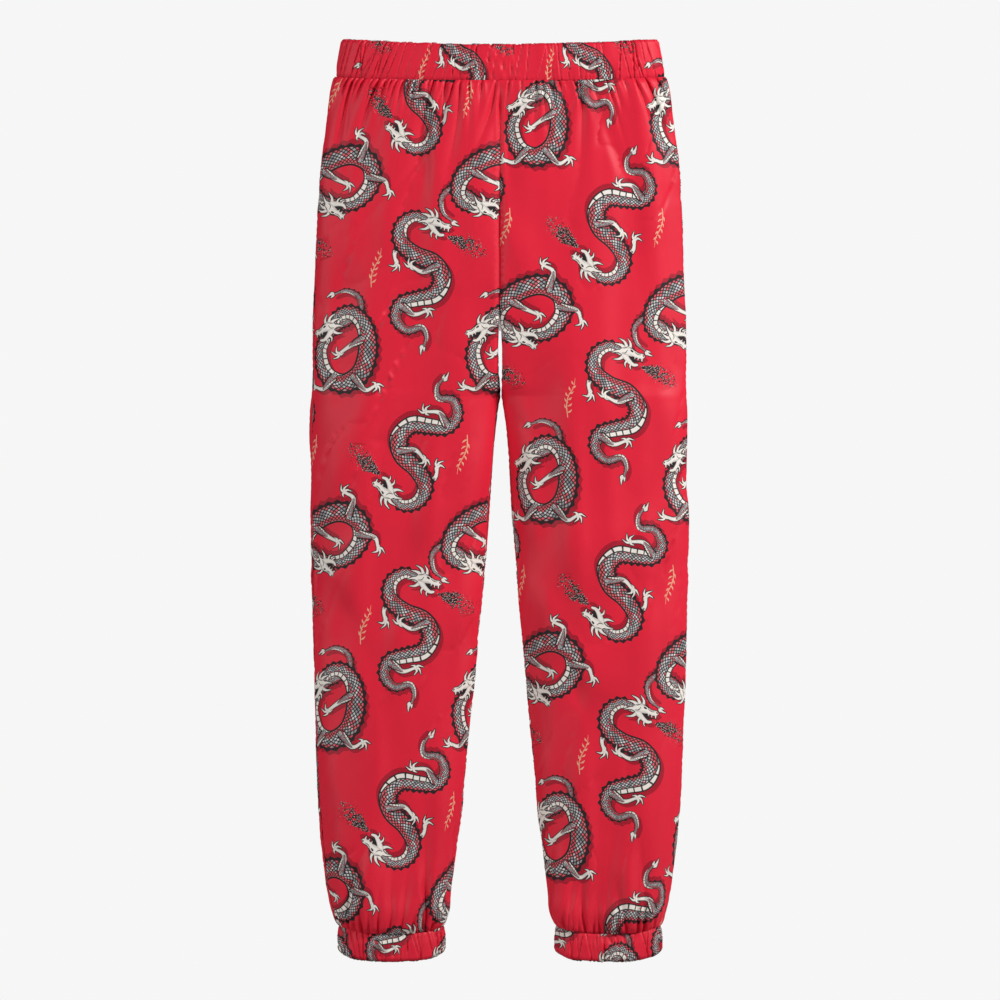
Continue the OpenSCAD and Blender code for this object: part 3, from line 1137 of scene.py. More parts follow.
@dataclass
class Overlock:
    """A sewn-together edge: two plies of cloth with a thread looped over their cut edge.

    Attributes:
        name: The seam's name.
        near: Points along the seam line, in millimetres.
        far: Points along the cut edge.
        face: The direction that one side of it faces, at each point.
        wrap: True for a seam that goes right round.
        thick: Thickness of its two plies together.
        stitch: Length of a stitch.
        thread: Radius of the thread.
    """

    name: str
    near: np.ndarray
    far: np.ndarray
    face: np.ndarray
    wrap: bool = False
    thick: float = 0.8
    stitch: float = 2.6
    thread: float = 0.17

    def build(self, cloth: bpy.types.Material, thread: bpy.types.Material, nodes: list[str]) -> list:
        """Makes the plies and the thread.

        Args:
            cloth: The plies' finish.
            thread: The thread's finish.
            nodes: The CAD nodes that the plies stand for.

        Returns:
            The two pieces.
        """
        wave = 0.25 * soft_noise(np.arange(len(self.near)) / 3.0, 0.5, 31)[:, None] * self.face
        span = np.stack([self.near + (self.far - self.near) * t + wave * t for t in (0, 0.35, 0.7, 1)])
        half = self.face * self.thick / 2
        plies = shell(f"{self.name}_plies", span + half, span - half, self.wrap, cloth)
        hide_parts(*nodes)
        ring = np.vstack([self.near, self.near[:1]]) if self.wrap else self.near
        length = float(np.linalg.norm(np.diff(ring, axis=0), axis=1).sum())
        return [plies, self.loops(length, half, thread)]

    def loops(self, length: float, half: np.ndarray, finish: bpy.types.Material) -> bpy.types.Object:
        """The thread: a needle line with a loop over the cut edge at each stitch.

        Args:
            length: The seam's length.
            half: Half the plies' thickness, as a vector at each point.
            finish: The thread's finish.

        Returns:
            The piece.
        """
        count = max(4, int(length / self.stitch))
        rows = np.arange(len(self.near))
        at = np.linspace(0, len(rows) - 1, count * 4 + 1)
        near, far, out = (
            np.column_stack([np.interp(at, rows, grid[:, k]) for k in range(3)])
            for grid in (self.near, self.far, half)
        )
        out = out + out / np.maximum(np.linalg.norm(out, axis=1), 1e-9)[:, None] * self.thread * 0.9
        step = np.arange(len(at)) % 4
        share = np.array([0.3, 1.04, 0.3, 0.3])[step][:, None]
        lean = np.array([1.0, 0.0, -1.0, -0.2])[step][:, None]
        path = near + (far - near) * share + out * lean
        piece = tube(f"{self.name}_thread", path, self.thread, finish)
        return piece


def surface_normals(form: np.ndarray) -> np.ndarray:
    """Outward normals of a grid of points whose rows fall and whose columns go right, seen from outside."""
    right = np.gradient(form, axis=1)
    up = -np.gradient(form, axis=0)
    n = np.cross(right, up)
    return n / np.maximum(np.linalg.norm(n, axis=2), 1e-9)[..., None]


# ---------------------------------------------------------------- panels


@dataclass
class Panel:
    """A quarter of the trousers: one cut from the waist seam to the cuff."""

    form: Form
    side: int
    face: int
    pattern: Print
    seed: int
    hand_folds: tuple[Fold, ...] = ()
    long_folds: float = 3.4
    knee_folds: float = 3.2
    ankle_folds: float = 3.2
    cuff_blouse: float = 2.8
    waist_blouse: float = 1.6
    creases: float = 1.3
    pucker: float = 0.28
    seam_pucker: float = 0.2
    seam_grooves: tuple[float, float] = (2.6, 1.2)
    highest: float = 7.0
    rows: int = 260
    columns: int = 230

    @property
    def leg(self) -> str:
        """The leg that it goes down."""
        return "left" if self.side == LEFT else "right"

    @property
    def quarter(self) -> str:
        """Its leg and its face."""
        return f"{self.leg}_{'front' if self.face == FRONT else 'back'}"

    def noise(self, x: np.ndarray, y: np.ndarray, layer: int) -> np.ndarray:
        """One layer of the panel's own noise."""
        return soft_noise(x, y, self.seed + layer)

    def smooth_form(self) -> tuple[np.ndarray, np.ndarray, np.ndarray]:
        """The form of the left half without gathers and folds.

        Returns:
            Its points in rows, their flat distances from the grain line, and the rows' drops.
        """
        f = self.form
        t = np.linspace(0, 1, self.rows + 1)
        drops = f.waist_seam + (f.cuff_top - f.waist_seam) * (t - 0.12 * np.sin(2 * math.pi * t))
        t = np.linspace(0, 1, self.columns + 1)[None]
        fork = f.forked(drops)[:, None]
        u = (1 - fork) * np.sin(math.pi / 2 * t) + fork * (1 - np.cos(math.pi * t)) / 2
        low, high = f.inner(drops)[:, None], f.outer(drops)[:, None]
        x = low + (high - low) * u
        share = (1 - fork) * f.oval(u) + fork * f.oval(2 * u - 1)
        y = self.face * f.depth(drops, self.face)[:, None] * share
        points = np.stack([x, y, np.broadcast_to(-drops[:, None], x.shape)], axis=2)
        arc = distances(points[..., :2])
        centres = (low[:, 0] + high[:, 0]) / 2
        middle = np.array([np.interp(at, row, length) for at, row, length in zip(centres, x, arc)])
        full = 1 + 0.2 * np.exp(-(drops - f.waist_seam) / 42) + 0.28 * np.exp((drops - f.cuff_top) / 30)
        across = 80 + full[:, None] * (arc - middle[:, None])
        return points, across, drops

    def folds(self, across: np.ndarray, drops: np.ndarray, x: np.ndarray) -> np.ndarray:
        """How far the cloth's folds stand from the smooth form.

        Args:
            across: Flat distances across the panel.
            drops: The rows' drops.
            x: Distances from the middle of the garment.

        Returns:
            The heights, in millimetres.
        """
        f = self.form
        down = drops[:, None] + 0 * across
        away, above = down - f.waist_seam, f.cuff_top - down
        fan = 0.10 if self.side == LEFT else -0.10
        waist = Gathers(10.0, 28.0, 4.4, 0.9, self.seed, 0.09, 0.3, lean=fan, spread=0.05, length_change=0.6)
        cuff = Gathers(8.0, 32.0, 5.4, 1.2, self.seed + 1, 0.14, 0.45, spread=0.05, length_change=0.5)
        out = waist.height(across, away) + cuff.height(across, above)
        pucker = self.noise(across / 1.7, away / 6, 9) * np.exp(-away / 4)
        out += self.pucker * (pucker + self.noise(across / 1.7, above / 6, 8) * np.exp(-above / 4))
        long = self.noise(across / 38, down / 260, 2) + 0.5 * self.noise(across / 19, down / 130, 3)
        out += self.long_folds * long
        knee = np.exp(-(((down - 470) / 120) ** 2)) + 0.6 * np.exp(-(((down - 320) / 70) ** 2))
        slanted = self.noise((x * 0.8 + down * 0.6) / 34, (down * 0.8 - x * 0.6) / 110, 4)
        out += self.knee_folds * knee * slanted
        ankle = np.exp(-((above / 100) ** 2))
        out += self.ankle_folds * ankle * self.noise(across / 17, down / 60, 5)
        blouse = self.cuff_blouse * np.exp(-(((above - 13) / 13) ** 2))
        blouse = blouse + self.waist_blouse * np.exp(-(((away - 16) / 16) ** 2))
        crease = np.abs(self.noise(across / 26 + down / 70, down / 60, 6))
        patchy = 0.4 + 0.6 * self.noise(across / 40, down / 70, 7)
        out += blouse - self.creases * np.exp(-crease * 10) * patchy
        for fold in self.hand_folds:
            out += fold.height(np.abs(x), down)
        return out

    def cut(self) -> Cut:
        """The cut with its gathers and folds, seen from outside."""
        points, across, drops = self.smooth_form()
        if self.face == BACK:
            points, across = points[:, ::-1], -across[:, ::-1]
        if self.side == RIGHT:
            points, across = points[:, ::-1] * (-1, 1, 1), -across[:, ::-1]
        arc = distances(points)
        to_edge = np.minimum(arc, arc[:, -1:] - arc)
        high = self.folds(across, drops, points[..., 0])
        high = self.highest * np.tanh(high / self.highest) * ease((to_edge + 1.5) / 9)
        pucker = self.seam_pucker * self.noise(drops[:, None] / 4.5 + 0 * arc, arc / 5, 12)
        pucker = pucker * np.exp(-to_edge / 5)
        middle_side = (arc < to_edge + 0.01) == (self.side * self.face < 0)
        groove = np.where(middle_side, *self.seam_grooves)
        ends = np.minimum(drops - self.form.waist_seam, self.form.cuff_top - drops)[:, None]
        high += pucker - groove * np.exp(-((to_edge / 1.8) ** 2)) * ease(ends / 26)
        high = high * (0.6 + 0.4 * ease(ends / 5)) - 0.9 * np.exp(-((ends / 1.1) ** 2))
        hung = points + surface_normals(points) * high[..., None]
        hung[..., 2] = -self.form.settled(hung[..., 0], drops[:, None])
        return Cut(f"{self.quarter}_panel", hung, across, -drops, self.pattern)


# ---------------------------------------------------------------- bands


@dataclass
class Band:
    """A strip folded over its elastic and gathered by it.

    Attributes:
        name: The piece's name.
        form: The garment's form.
        pattern: Where the print falls.
        seam: Drop of its seam.
        hem: Drop of its fold.
        middle: Its middle's distance from the middle of the garment.
        seam_size: Half-width and half-depth at the seam.
        hem_size: Half-width and half-depth at the fold.
        angles: Where it starts and ends round the oval, in degrees.
        crease: Its creases.
        seed: Picks its unevenness.
        fullness: Length of the cut as a share of the band's.
        fold_depth: Distance between its two layers.
        fold_height: Height of the rounded fold.
        lift: How far the cloth stands off the elastic.
    """

    name: str
    form: Form
    pattern: Print
    seam: float
    hem: float
    middle: float
    seam_size: tuple[float, float]
    hem_size: tuple[float, float]
    angles: tuple[float, float]
    crease: Gathers
    seed: int
    fullness: float = 1.22
    fold_depth: float = 4.2
    fold_height: float = 1.6
    lift: float = 1.6

    def cut(self) -> Cut:
        """The folded strip, from the inside seam over the fold to the outside seam."""
        tall = abs(self.hem - self.seam)
        steps, grid = 12, 0.7
        flat = tall - self.fold_height
        outside = np.linspace(0, flat, steps)
        turn = np.radians(np.linspace(0, 180, 8)[1:-1])
        r = self.fold_depth / 2
        up = np.concatenate([outside, flat + self.fold_height * np.sin(turn), outside[::-1]])
        inset = np.concatenate([np.zeros(steps), r * (1 - np.cos(turn)), np.full(steps, self.fold_depth)])
        run = np.concatenate([[0], np.cumsum(np.hypot(np.diff(up), np.diff(inset)))])
        columns = int(abs(self.angles[1] - self.angles[0]) / 360 * (self.seam_size[0] * 4.4) / grid)
        angle = np.radians(np.linspace(*self.angles, columns + 1))[None]
        share = (up / tall)[:, None]
        half = self.seam_size[0] + (self.hem_size[0] - self.seam_size[0]) * share - inset[:, None]
        deep = self.seam_size[1] + (self.hem_size[1] - self.seam_size[1]) * share - inset[:, None]
        x, y = self.form.ring(angle, self.middle, half, deep)
        drop = self.form.settled(x, self.seam + (self.hem - self.seam) * share + 0 * angle)
        points = np.stack([x, y, -drop], axis=2)
        length = distances(points[0, :, :2])
        along = self.fullness * (length - length[-1] / 2)
        across = np.broadcast_to(along, x.shape).copy()
        heights = -run
        if self.hem < self.seam:
            points, across, heights, up = points[::-1], across[::-1], run[::-1], up[::-1]
        away = np.broadcast_to(up[:, None], x.shape)
        wave = self.crease.height(across, away)
        puff = 0.6 * soft_noise(across / 9, away / 26, self.seed)
        puff += 0.3 * soft_noise(across / 1.8, away / 6, self.seed + 3) * np.exp(-away / 4)
        edge = ease(np.minimum(across - across[:, :1], across[:, -1:] - across) / 2 + 0.2)
        high = (self.lift * (0.25 + 0.75 * ease(away / 12)) + wave + puff) * edge
        high = np.clip(high, -0.5, 3.4) - 0.7 * np.exp(-((away / 1.3) ** 2))
        hung = points + surface_normals(points) * high[..., None]
        return Cut(self.name, hung, across, heights, self.pattern, spacing=2.3, fine_within=200.0)


# ---------------------------------------------------------------- trimmings


@dataclass
class Trimmings:
    """Everything sewn in that doesn't show from outside: seam edges, elastics and the label."""

    form: Form
    cloth: bpy.types.Material
    thread: bpy.types.Material
    elastic: bpy.types.Material
    label: bpy.types.Material
    seam_width: float = 6.5
    seam_step: float = 7.0
    hidden: float = 3.6
    side_inset: float = 2.6
    centre_inset: float = 3.4
    end_gap: float = 12.0
    elastic_inset: tuple[float, float] = (1.45, 2.75)
    elastic_gaps: tuple[float, float] = (2.6, 3.2)
    label_depth: float = 0.0168

    def hang(self, piece: bpy.types.Object, body: str, leg: str = "") -> None:
        """Puts a piece on a body, or, if it crosses a hip, bakes its place into its mesh and puts it on no
        body.

        Args:
            piece: The piece.
            body: The body it rides on.
            leg: The leg's name, given if it crosses a hip; the piece then follows no leg.
        """
        if leg:
            across_hip(piece)
        else:
            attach(piece, body)
        log.info("%s: %d faces", piece.name, len(piece.data.polygons))

    def seam(
        self, name: str, nodes: list[str], reach: tuple, place: Callable, face: tuple, leg: str = ""
    ) -> None:
        """A sewn-together edge that runs down the garment.

        Args:
            name: The seam's name.
            nodes: The CAD nodes it stands for.
            reach: The drops where it starts and ends.
            place: Gives points of the seam from drops and their distance inwards.
            face: The direction that one side of it faces.
            leg: The leg's body, if it crosses a hip.
        """
        start, end = reach
        d = np.linspace(start, end, max(3, int((end - start) / self.seam_step)))
        near, far = place(d, 0.0), place(d, self.seam_width)
        edge = Overlock(name, near, far, np.tile(face, (len(d), 1)))
        for piece in edge.build(self.cloth, self.thread, nodes):
            self.hang(piece, "hips", leg)

    def edges(self) -> None:
        """The side seams, inside leg seams and centre seams."""
        f = self.form
        top, foot = f.waist_seam + self.end_gap, f.cuff_top - self.end_gap
        for side, sign in (("left", 1), ("right", -1)):

            def outside(d: np.ndarray, inwards: float) -> np.ndarray:
                """Points inside the outer edge of the leg."""
                x = f.outer(d) - self.side_inset - inwards
                return np.column_stack([sign * x, 0 * d, -f.settled(x, d)])

            def inside(d: np.ndarray, inwards: float) -> np.ndarray:
                """Points inside the inner edge of the leg."""
                x = f.inner(d) + self.side_inset + inwards
                return np.column_stack([sign * x, 0 * d, -f.settled(x, d)])

            nodes = [f"{side}_side_seam_hip", f"{side}_side_seam_leg"]
            self.seam(f"{side}_side_seam", nodes, (top, foot), outside, (0, 1.0, 0), f"{side}_leg")
            nodes = [f"{side}_inseam"]
            self.seam(f"{side}_inseam_edge", nodes, (f.crotch + 8, foot), inside, (0, 1.0, 0), f"{side}_leg")
        for name, face in (("front", FRONT), ("back", BACK)):

            def centre(d: np.ndarray, inwards: float) -> np.ndarray:
                """Points behind the middle of the front or before that of the back."""
                y = f.depth(d, face) * (1 - f.forked(d)) - self.centre_inset - inwards
                return np.column_stack([0 * d, face * y, -f.settled(0 * d, d)])

            nodes = [f"centre_{name}_seam"]
            self.seam(f"centre_{name}_edge", nodes, (top, f.crotch - 52), centre, (1.0, 0, 0))

    def round_seam(self, name: str, node: str, drop: float, middle: float, size: tuple, body: str) -> None:
        """A sewn-together edge that goes round the waist or an ankle.

        Args:
            name: The seam's name.
            node: The CAD node it stands for.
            drop: The drop of its upper side.
            middle: Its middle's distance from the middle of the garment.
            size: Its half-width and half-depth.
            body: The body it rides on.
        """
        angle = np.linspace(0, 2 * math.pi, 181)[:-1]
        x, y = self.form.ring(angle, middle, *size)
        near, far = (
            np.column_stack([x, y, -self.form.settled(x, z + 0 * x)]) for z in (drop, drop + self.seam_width)
        )
        face = near - (middle, 0, 0)
        face[:, 2] = 0
        face /= np.linalg.norm(face, axis=1)[:, None]
        for piece in Overlock(name, near, far, face, True).build(self.cloth, self.thread, [node]):
            self.hang(piece, body)

    def rings(self) -> None:
        """The seam edges that go round the waist and the ankles, and the elastics."""
        f = self.form
        drop = f.waist_seam + 2
        top, foot = np.array([drop]), np.array([f.cuff_top])
        size = tuple(float(v[0]) - self.hidden for v in (f.outer(top), f.depth(top, FRONT)))
        self.round_seam("waist_edge", "waist_seam", drop, 0, size, "hips")
        self.band("waist", f.waist_seam, 0.0, 0.0, (f.waist_half, f.waist_depth), (6, 2), "hips")
        low, high = float(f.inner(foot)[0]) + self.hidden, float(f.outer(foot)[0]) - self.hidden
        drop = f.cuff_top - 2.5 - self.seam_width
        for side, sign in (("left", 1), ("right", -1)):
            middle, leg = sign * (low + high) / 2, f"{side}_leg"
            size = ((high - low) / 2, float(f.depth(foot, FRONT)[0]) - self.hidden)
            self.round_seam(f"{side}_cuff_edge", f"{side}_cuff_seam", drop, middle, size, leg)
            size = (f.cuff_half, f.cuff_depth)
            self.band(f"{side}_cuff", f.cuff_top, f.hem, sign * f.cuff_middle, size, (0, 0), leg)

    def band(
        self, name: str, seam: float, hem: float, middle: float, size: tuple, less: tuple, body: str
    ) -> None:
        """A ribbed elastic inside a folded band.

        Args:
            name: The band's name.
            seam: Drop of the band's seam.
            hem: Drop of its fold.
            middle: Its middle's distance from the middle of the garment.
            size: Its half-width and half-depth at the seam.
            less: How much smaller they are at the fold.
            body: The body it rides on.
        """
        f = self.form
        angle = np.linspace(0, 2 * math.pi, 241)[:-1]
        tall = abs(hem - seam)
        share = np.linspace(self.elastic_gaps[0] / tall, 1 - self.elastic_gaps[1] / tall, 25)
        rib_pitch, rib_height = 2.4, 0.12

        def face(inset: float) -> np.ndarray:
            """One side of the elastic, with its ribs."""
            rows = []
            for t in share:
                rib = rib_height * math.cos(t * tall * 2 * math.pi / rib_pitch)
                half, depth = (full - gone * t - inset - rib for full, gone in zip(size, less))
                x, y = f.ring(angle, middle, half, depth)
                rows.append(np.column_stack([x, y, -f.settled(x, seam + (hem - seam) * t + 0 * x)]))
            return np.stack(rows)

        outside, inside = (face(inset) for inset in self.elastic_inset)
        piece = shell(f"{name}_elastic_web", outside, inside, True, self.elastic)
        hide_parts(f"{name}_elastic")
        self.hang(piece, body)

    def blank_label(self) -> None:
        """A blank woven label that hangs inside the back, beside the centre seam."""
        low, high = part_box("care_label")
        bpy.ops.object.select_all(action="DESELECT")
        bpy.ops.mesh.primitive_grid_add(x_subdivisions=14, y_subdivisions=20, size=1)
        piece = bpy.context.object
        piece.name = "blank_label"
        wide, tall = high.x - low.x, high.z - low.z
        uv = piece.data.uv_layers.active
        uv.name = "cloth"
        for spot in uv.data:
            spot.uv = (spot.uv[0] * wide, spot.uv[1] * tall)
        for v in piece.data.vertices:
            x, t = v.co.x, 0.5 - v.co.y
            curve = 0.0006 * math.sin(3.0 * x + 1) * t + 0.0009 * t * t
            v.co = ((low.x + high.x) / 2 + x * wide, self.label_depth - curve, high.z - t * tall)
        thick = piece.modifiers.new("thick", "SOLIDIFY")
        thick.thickness = 0.00035
        thick.offset = 0
        bpy.ops.object.modifier_apply(modifier="thick")
        for polygon in piece.data.polygons:
            polygon.use_smooth = True
        piece.data.materials.append(self.label)
        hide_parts("care_label")
        self.hang(piece, "hips")


# ---------------------------------------------------------------- finishes


Socket = bpy.types.NodeSocket
Given = Socket | float | tuple


class Nodes:
    """Places and joins the nodes of one shader tree."""

    def __init__(self, tree: bpy.types.NodeTree) -> None:
        """Starts with an empty tree."""
        self.tree = tree
        tree.nodes.clear()

    def add(self, kind: str, **values) -> bpy.types.Node:
        """Adds a node and sets its own settings."""
        node = self.tree.nodes.new(kind)
        for key, value in values.items():
            setattr(node, key, value)
        return node

    def join(self, source: Given, target: Socket) -> None:
        """Joins one socket to another, or sets a plain value."""
        if isinstance(source, (int, float, tuple)):
            target.default_value = source
        else:
            self.tree.links.new(source, target)

    def math(self, kind: str, *inputs: Given) -> Socket:
        """A math node's output."""
        node = self.add("ShaderNodeMath", operation=kind)
        for socket, value in zip(node.inputs, inputs):
            self.join(value, socket)
        return node.outputs[0]

    def vector(self, kind: str, *inputs: Given) -> Socket:
        """A vector math node's output."""
        node = self.add("ShaderNodeVectorMath", operation=kind)
        for socket, value in zip(node.inputs, inputs):
            self.join(value, socket)
        return node.outputs[0]

    def mix(self, share: Given, a: Given, b: Given) -> Socket:
        """A mix of two colours."""
        node = self.add("ShaderNodeMix", data_type="RGBA")
        self.join(share, node.inputs["Factor"])
        self.join(a, node.inputs[6])
        self.join(b, node.inputs[7])
        return node.outputs[2]

    def range(
        self, value: Socket, low: float, high: Given, to_low: float = 0.0, to_high: float = 1.0
    ) -> Socket:
        """A value's smooth step between two levels."""
        node = self.add("ShaderNodeMapRange", interpolation_type="SMOOTHSTEP")
        for socket, given in zip(node.inputs, (value, low, high, to_low, to_high)):
            self.join(given, socket)
        return node.outputs[0]

    def noise(self, vector: Socket, scale: float, detail: float) -> Socket:
        """A noise texture's value."""
        node = self.add("ShaderNodeTexNoise")
        node.inputs["Scale"].default_value = scale
        node.inputs["Detail"].default_value = detail
        self.join(vector, node.inputs["Vector"])
        return node.outputs["Fac"]

    def uv(self, name: str) -> Socket:
        """The coordinates of one of the piece's UV maps."""
        return self.add("ShaderNodeUVMap", uv_map=name).outputs[0]

    def xyz(self, vector: Socket) -> list[Socket]:
        """A vector's three parts."""
        node = self.add("ShaderNodeSeparateXYZ")
        self.join(vector, node.inputs[0])
        return list(node.outputs)


def group(name: str, inputs: dict[str, str], outputs: dict[str, str]) -> tuple:
    """An empty shader node group.

    Args:
        name: The group's name.
        inputs: Socket names and kinds.
        outputs: Socket names and kinds.

    Returns:
        The tree's helper, its input node and its output node.
    """
    tree = bpy.data.node_groups.new(name, "ShaderNodeTree")
    for way, sockets in (("INPUT", inputs), ("OUTPUT", outputs)):
        for label, kind in sockets.items():
            tree.interface.new_socket(label, in_out=way, socket_type=kind)
    nodes = Nodes(tree)
    return nodes, nodes.add("NodeGroupInput"), nodes.add("NodeGroupOutput")


FLOAT, COLOUR, VECTOR = "NodeSocketFloat", "NodeSocketColor", "NodeSocketVector"


def weave_group() -> bpy.types.NodeTree:
    """Satin weave: long floats over short steps, with slubs, as a height and a shade. The shade is the slubs'
    random tone plus painted shade: each yarn's round crown painted lighter and the gaps between yarns darker.
    """
    n, given, out = group("satin_weave", {"Cloth": VECTOR, "Pitch": FLOAT}, {"Height": FLOAT, "Shade": FLOAT})
    scaled = n.vector("SCALE", given.outputs["Cloth"])
    n.join(n.math("DIVIDE", 1.0, given.outputs["Pitch"]), scaled.node.inputs["Scale"])
    x, y, _ = n.xyz(scaled)
    column = n.math("FLOOR", x)
    shift = n.math("MULTIPLY", column, 0.4)
    float_run = n.math("FRACT", n.math("ADD", n.math("MULTIPLY", y, 0.2), shift))
    dip = n.range(n.math("ABSOLUTE", n.math("SUBTRACT", float_run, 0.5)), 0.36, 0.5)
    round_yarn = n.math("SINE", n.math("MULTIPLY", n.math("FRACT", x), math.pi))
    slub = n.noise(n.vector("MULTIPLY", given.outputs["Cloth"], (900.0, 60.0, 1.0)), 1.0, 3.0)
    height = n.math("SUBTRACT", round_yarn, n.math("MULTIPLY", dip, 0.6))
    n.join(n.math("ADD", height, n.math("MULTIPLY", slub, 0.5)), out.inputs["Height"])
    # Painted shade: the slubs' random tone plus each yarn's round crown painted lighter than the gaps between
    # yarns.
    shade = n.math("ADD", n.math("MULTIPLY", slub, 0.7), n.math("MULTIPLY", round_yarn, 0.3))
    n.join(shade, out.inputs["Shade"])
    return n.tree


def scales_group() -> bpy.types.NodeTree:
    """Overlapping scales along a stroke, as a dark line between them and each one's own shade."""
    n, given, out = group("serpent_scales", {"Stroke": VECTOR}, {"Line": FLOAT, "Shade": FLOAT})
    x, y, _ = n.xyz(given.outputs["Stroke"])
    x, y = n.math("MULTIPLY", x, 2.1), n.math("MULTIPLY", y, 2.6)
    one, two = n.math("ADD", x, y), n.math("SUBTRACT", x, y)
    edges = []
    for slope in (one, two):
        middle = n.math("ABSOLUTE", n.math("SUBTRACT", n.math("FRACT", slope), 0.5))
        edges.append(n.range(middle, 0.27, 0.4))
    n.join(n.math("MAXIMUM", *edges), out.inputs["Line"])
    spot = n.add("ShaderNodeCombineXYZ")
    n.join(n.math("FLOOR", one), spot.inputs[0])
    n.join(n.math("FLOOR", two), spot.inputs[1])
    white = n.add("ShaderNodeTexWhiteNoise", noise_dimensions="2D")
    n.join(spot.outputs[0], white.inputs["Vector"])
    n.join(white.outputs["Value"], out.inputs["Shade"])
    return n.tree


def print_group(scales: bpy.types.NodeTree) -> bpy.types.NodeTree:
    """The whole print: cloth colour in, printed colour out, and how much ink lies on the cloth."""
    n, given, out = group(
        "serpent_print",
        {"Cloth Colour": COLOUR, "Cloth": VECTOR, "Stroke": VECTOR, "Ink": VECTOR},
        {"Colour": COLOUR, "Inked": FLOAT},
    )
    cloth, red = given.outputs["Cloth"], given.outputs["Cloth Colour"]
    kind = n.xyz(given.outputs["Ink"])[0]
    along, across, _ = n.xyz(given.outputs["Stroke"])
    grain = n.noise(cloth, 1500.0, 1.0)

    def is_ink(ink: Ink) -> bpy.types.NodeSocket:
        """1 where that ink is printed, 0 elsewhere."""
        return n.math("COMPARE", kind, float(ink), 0.4)

    black, cream = (0.018, 0.012, 0.014, 1), (0.76, 0.71, 0.65, 1)

    stipple = n.range(grain, 0.42, 0.56, 0.35, 0.85)
    colour = n.mix(n.math("MULTIPLY", is_ink(Ink.SHADOW), stipple), red, (0.16, 0.006, 0.016, 1))

    pieces = n.add("ShaderNodeGroup", node_tree=scales)
    n.join(given.outputs["Stroke"], pieces.inputs["Stroke"])
    line, shade = pieces.outputs["Line"], pieces.outputs["Shade"]
    lit = n.range(n.math("ABSOLUTE", n.math("ADD", across, 0.15)), 0.1, 0.8, 0.95, 0.05)
    bare = n.math("GREATER_THAN", shade, lit)
    scale_colour = n.mix(shade, (0.24, 0.24, 0.25, 1), (0.76, 0.75, 0.74, 1))
    scale_colour = n.mix(n.math("MULTIPLY", bare, 0.85), scale_colour, red)
    scale_colour = n.mix(line, scale_colour, black)

    plate = n.math("FRACT", n.math("MULTIPLY", along, 1.15))
    plate_line = n.range(n.math("ABSOLUTE", n.math("SUBTRACT", plate, 0.5)), 0.36, 0.46)
    wide = n.range(n.math("SINE", n.math("MULTIPLY", along, 0.42)), -0.6, 0.9, 0.86, 0.28)
    belly = n.math("GREATER_THAN", across, wide)
    border = n.range(n.math("ABSOLUTE", n.math("SUBTRACT", across, wide)), 0.04, 0.1, 1.0, 0.0)
    belly_colour = n.mix(n.math("MAXIMUM", plate_line, border), cream, black)
    body = n.mix(n.math("MAXIMUM", belly, border), scale_colour, belly_colour)
    rim = n.range(n.math("ABSOLUTE", across), 0.8, 0.88)
    body = n.mix(rim, body, black)
    colour = n.mix(is_ink(Ink.SCALES), colour, body)

    dusk = n.range(n.math("ABSOLUTE", across), 0.35, 1.0, 0.0, 0.5)
    pale = n.mix(dusk, cream, (0.30, 0.26, 0.25, 1))
    colour = n.mix(is_ink(Ink.PALE), colour, pale)
    colour = n.mix(is_ink(Ink.LINE), colour, black)
    colour = n.mix(n.math("MULTIPLY", is_ink(Ink.LEAF), 0.8), colour, (0.72, 0.42, 0.26, 1))

    dots = n.add("ShaderNodeTexVoronoi", feature="F1")
    n.join(cloth, dots.inputs["Vector"])
    dots.inputs["Scale"].default_value = 620.0
    puff = n.range(n.math("ABSOLUTE", across), 0.25, 1.0, 0.95, 0.22)
    puff = n.math("MULTIPLY", puff, n.range(along, 1.0, 4.4, 1.0, 0.3))
    puff = n.math("MULTIPLY", puff, n.range(n.noise(cloth, 330.0, 2.0), 0.3, 0.55, 0.5, 1.3))
    dotted = n.math("LESS_THAN", dots.outputs["Distance"], puff)
    smoke = n.mix(n.math("GREATER_THAN", n.noise(cloth, 1100.0, 0.0), 0.6), black, (0.42, 0.30, 0.28, 1))
    colour = n.mix(n.math("MULTIPLY", is_ink(Ink.SMOKE), dotted), colour, smoke)
    n.join(colour, out.inputs["Colour"])
    n.join(n.math("GREATER_THAN", kind, 1.5), out.inputs["Inked"])
    return n.tree


@dataclass(frozen=True)
class Finish:
    """What every finish has: a colour, and a weave that shades and raises it.

    Attributes:
        name: The material's name.
        colour: Its colour, linear.
        roughness: Its lowest roughness, before the weave changes it.
        pitch: Width of a yarn, in metres.
        relief: Strength of the weave's bump.
    """

    name: str
    colour: tuple[float, float, float, float]
    roughness: float
    pitch: float
    relief: float

    def tint(self, level: float) -> tuple[float, ...]:
        """The colour at another brightness."""
        return *(part * level for part in self.colour[:3]), 1

    def woven(self, weave: bpy.types.NodeTree, flat: bool, raised: float, specular: float) -> tuple:
        """Starts the material with its shader and its weave.

        Args:
            weave: The shared weave group.
            flat: True if the weave follows the flat cloth, False if it follows the object.
            raised: Height of the weave's bump, in metres.
            specular: Strength of the highlight.

        Returns:
            The material, its tree's helper, its shader node and the weave's shade.
        """
        material = bpy.data.materials.new(self.name)
        material.use_nodes = True
        n = Nodes(material.node_tree)
        shader = n.add("ShaderNodeBsdfPrincipled")
        n.join(shader.outputs[0], n.add("ShaderNodeOutputMaterial").inputs[0])
        yarn = n.add("ShaderNodeGroup", node_tree=weave)
        place = n.uv("cloth") if flat else n.add("ShaderNodeTexCoord").outputs["Object"]
        n.join(place, yarn.inputs["Cloth"])
        n.join(self.pitch, yarn.inputs["Pitch"])
        bump = n.add("ShaderNodeBump")
        n.join(self.relief, bump.inputs["Strength"])
        n.join(raised, bump.inputs["Distance"])
        n.join(yarn.outputs["Height"], bump.inputs["Height"])
        n.join(bump.outputs[0], shader.inputs["Normal"])
        n.join(specular, shader.inputs["Specular IOR Level"])
        return material, n, shader, yarn.outputs["Shade"]


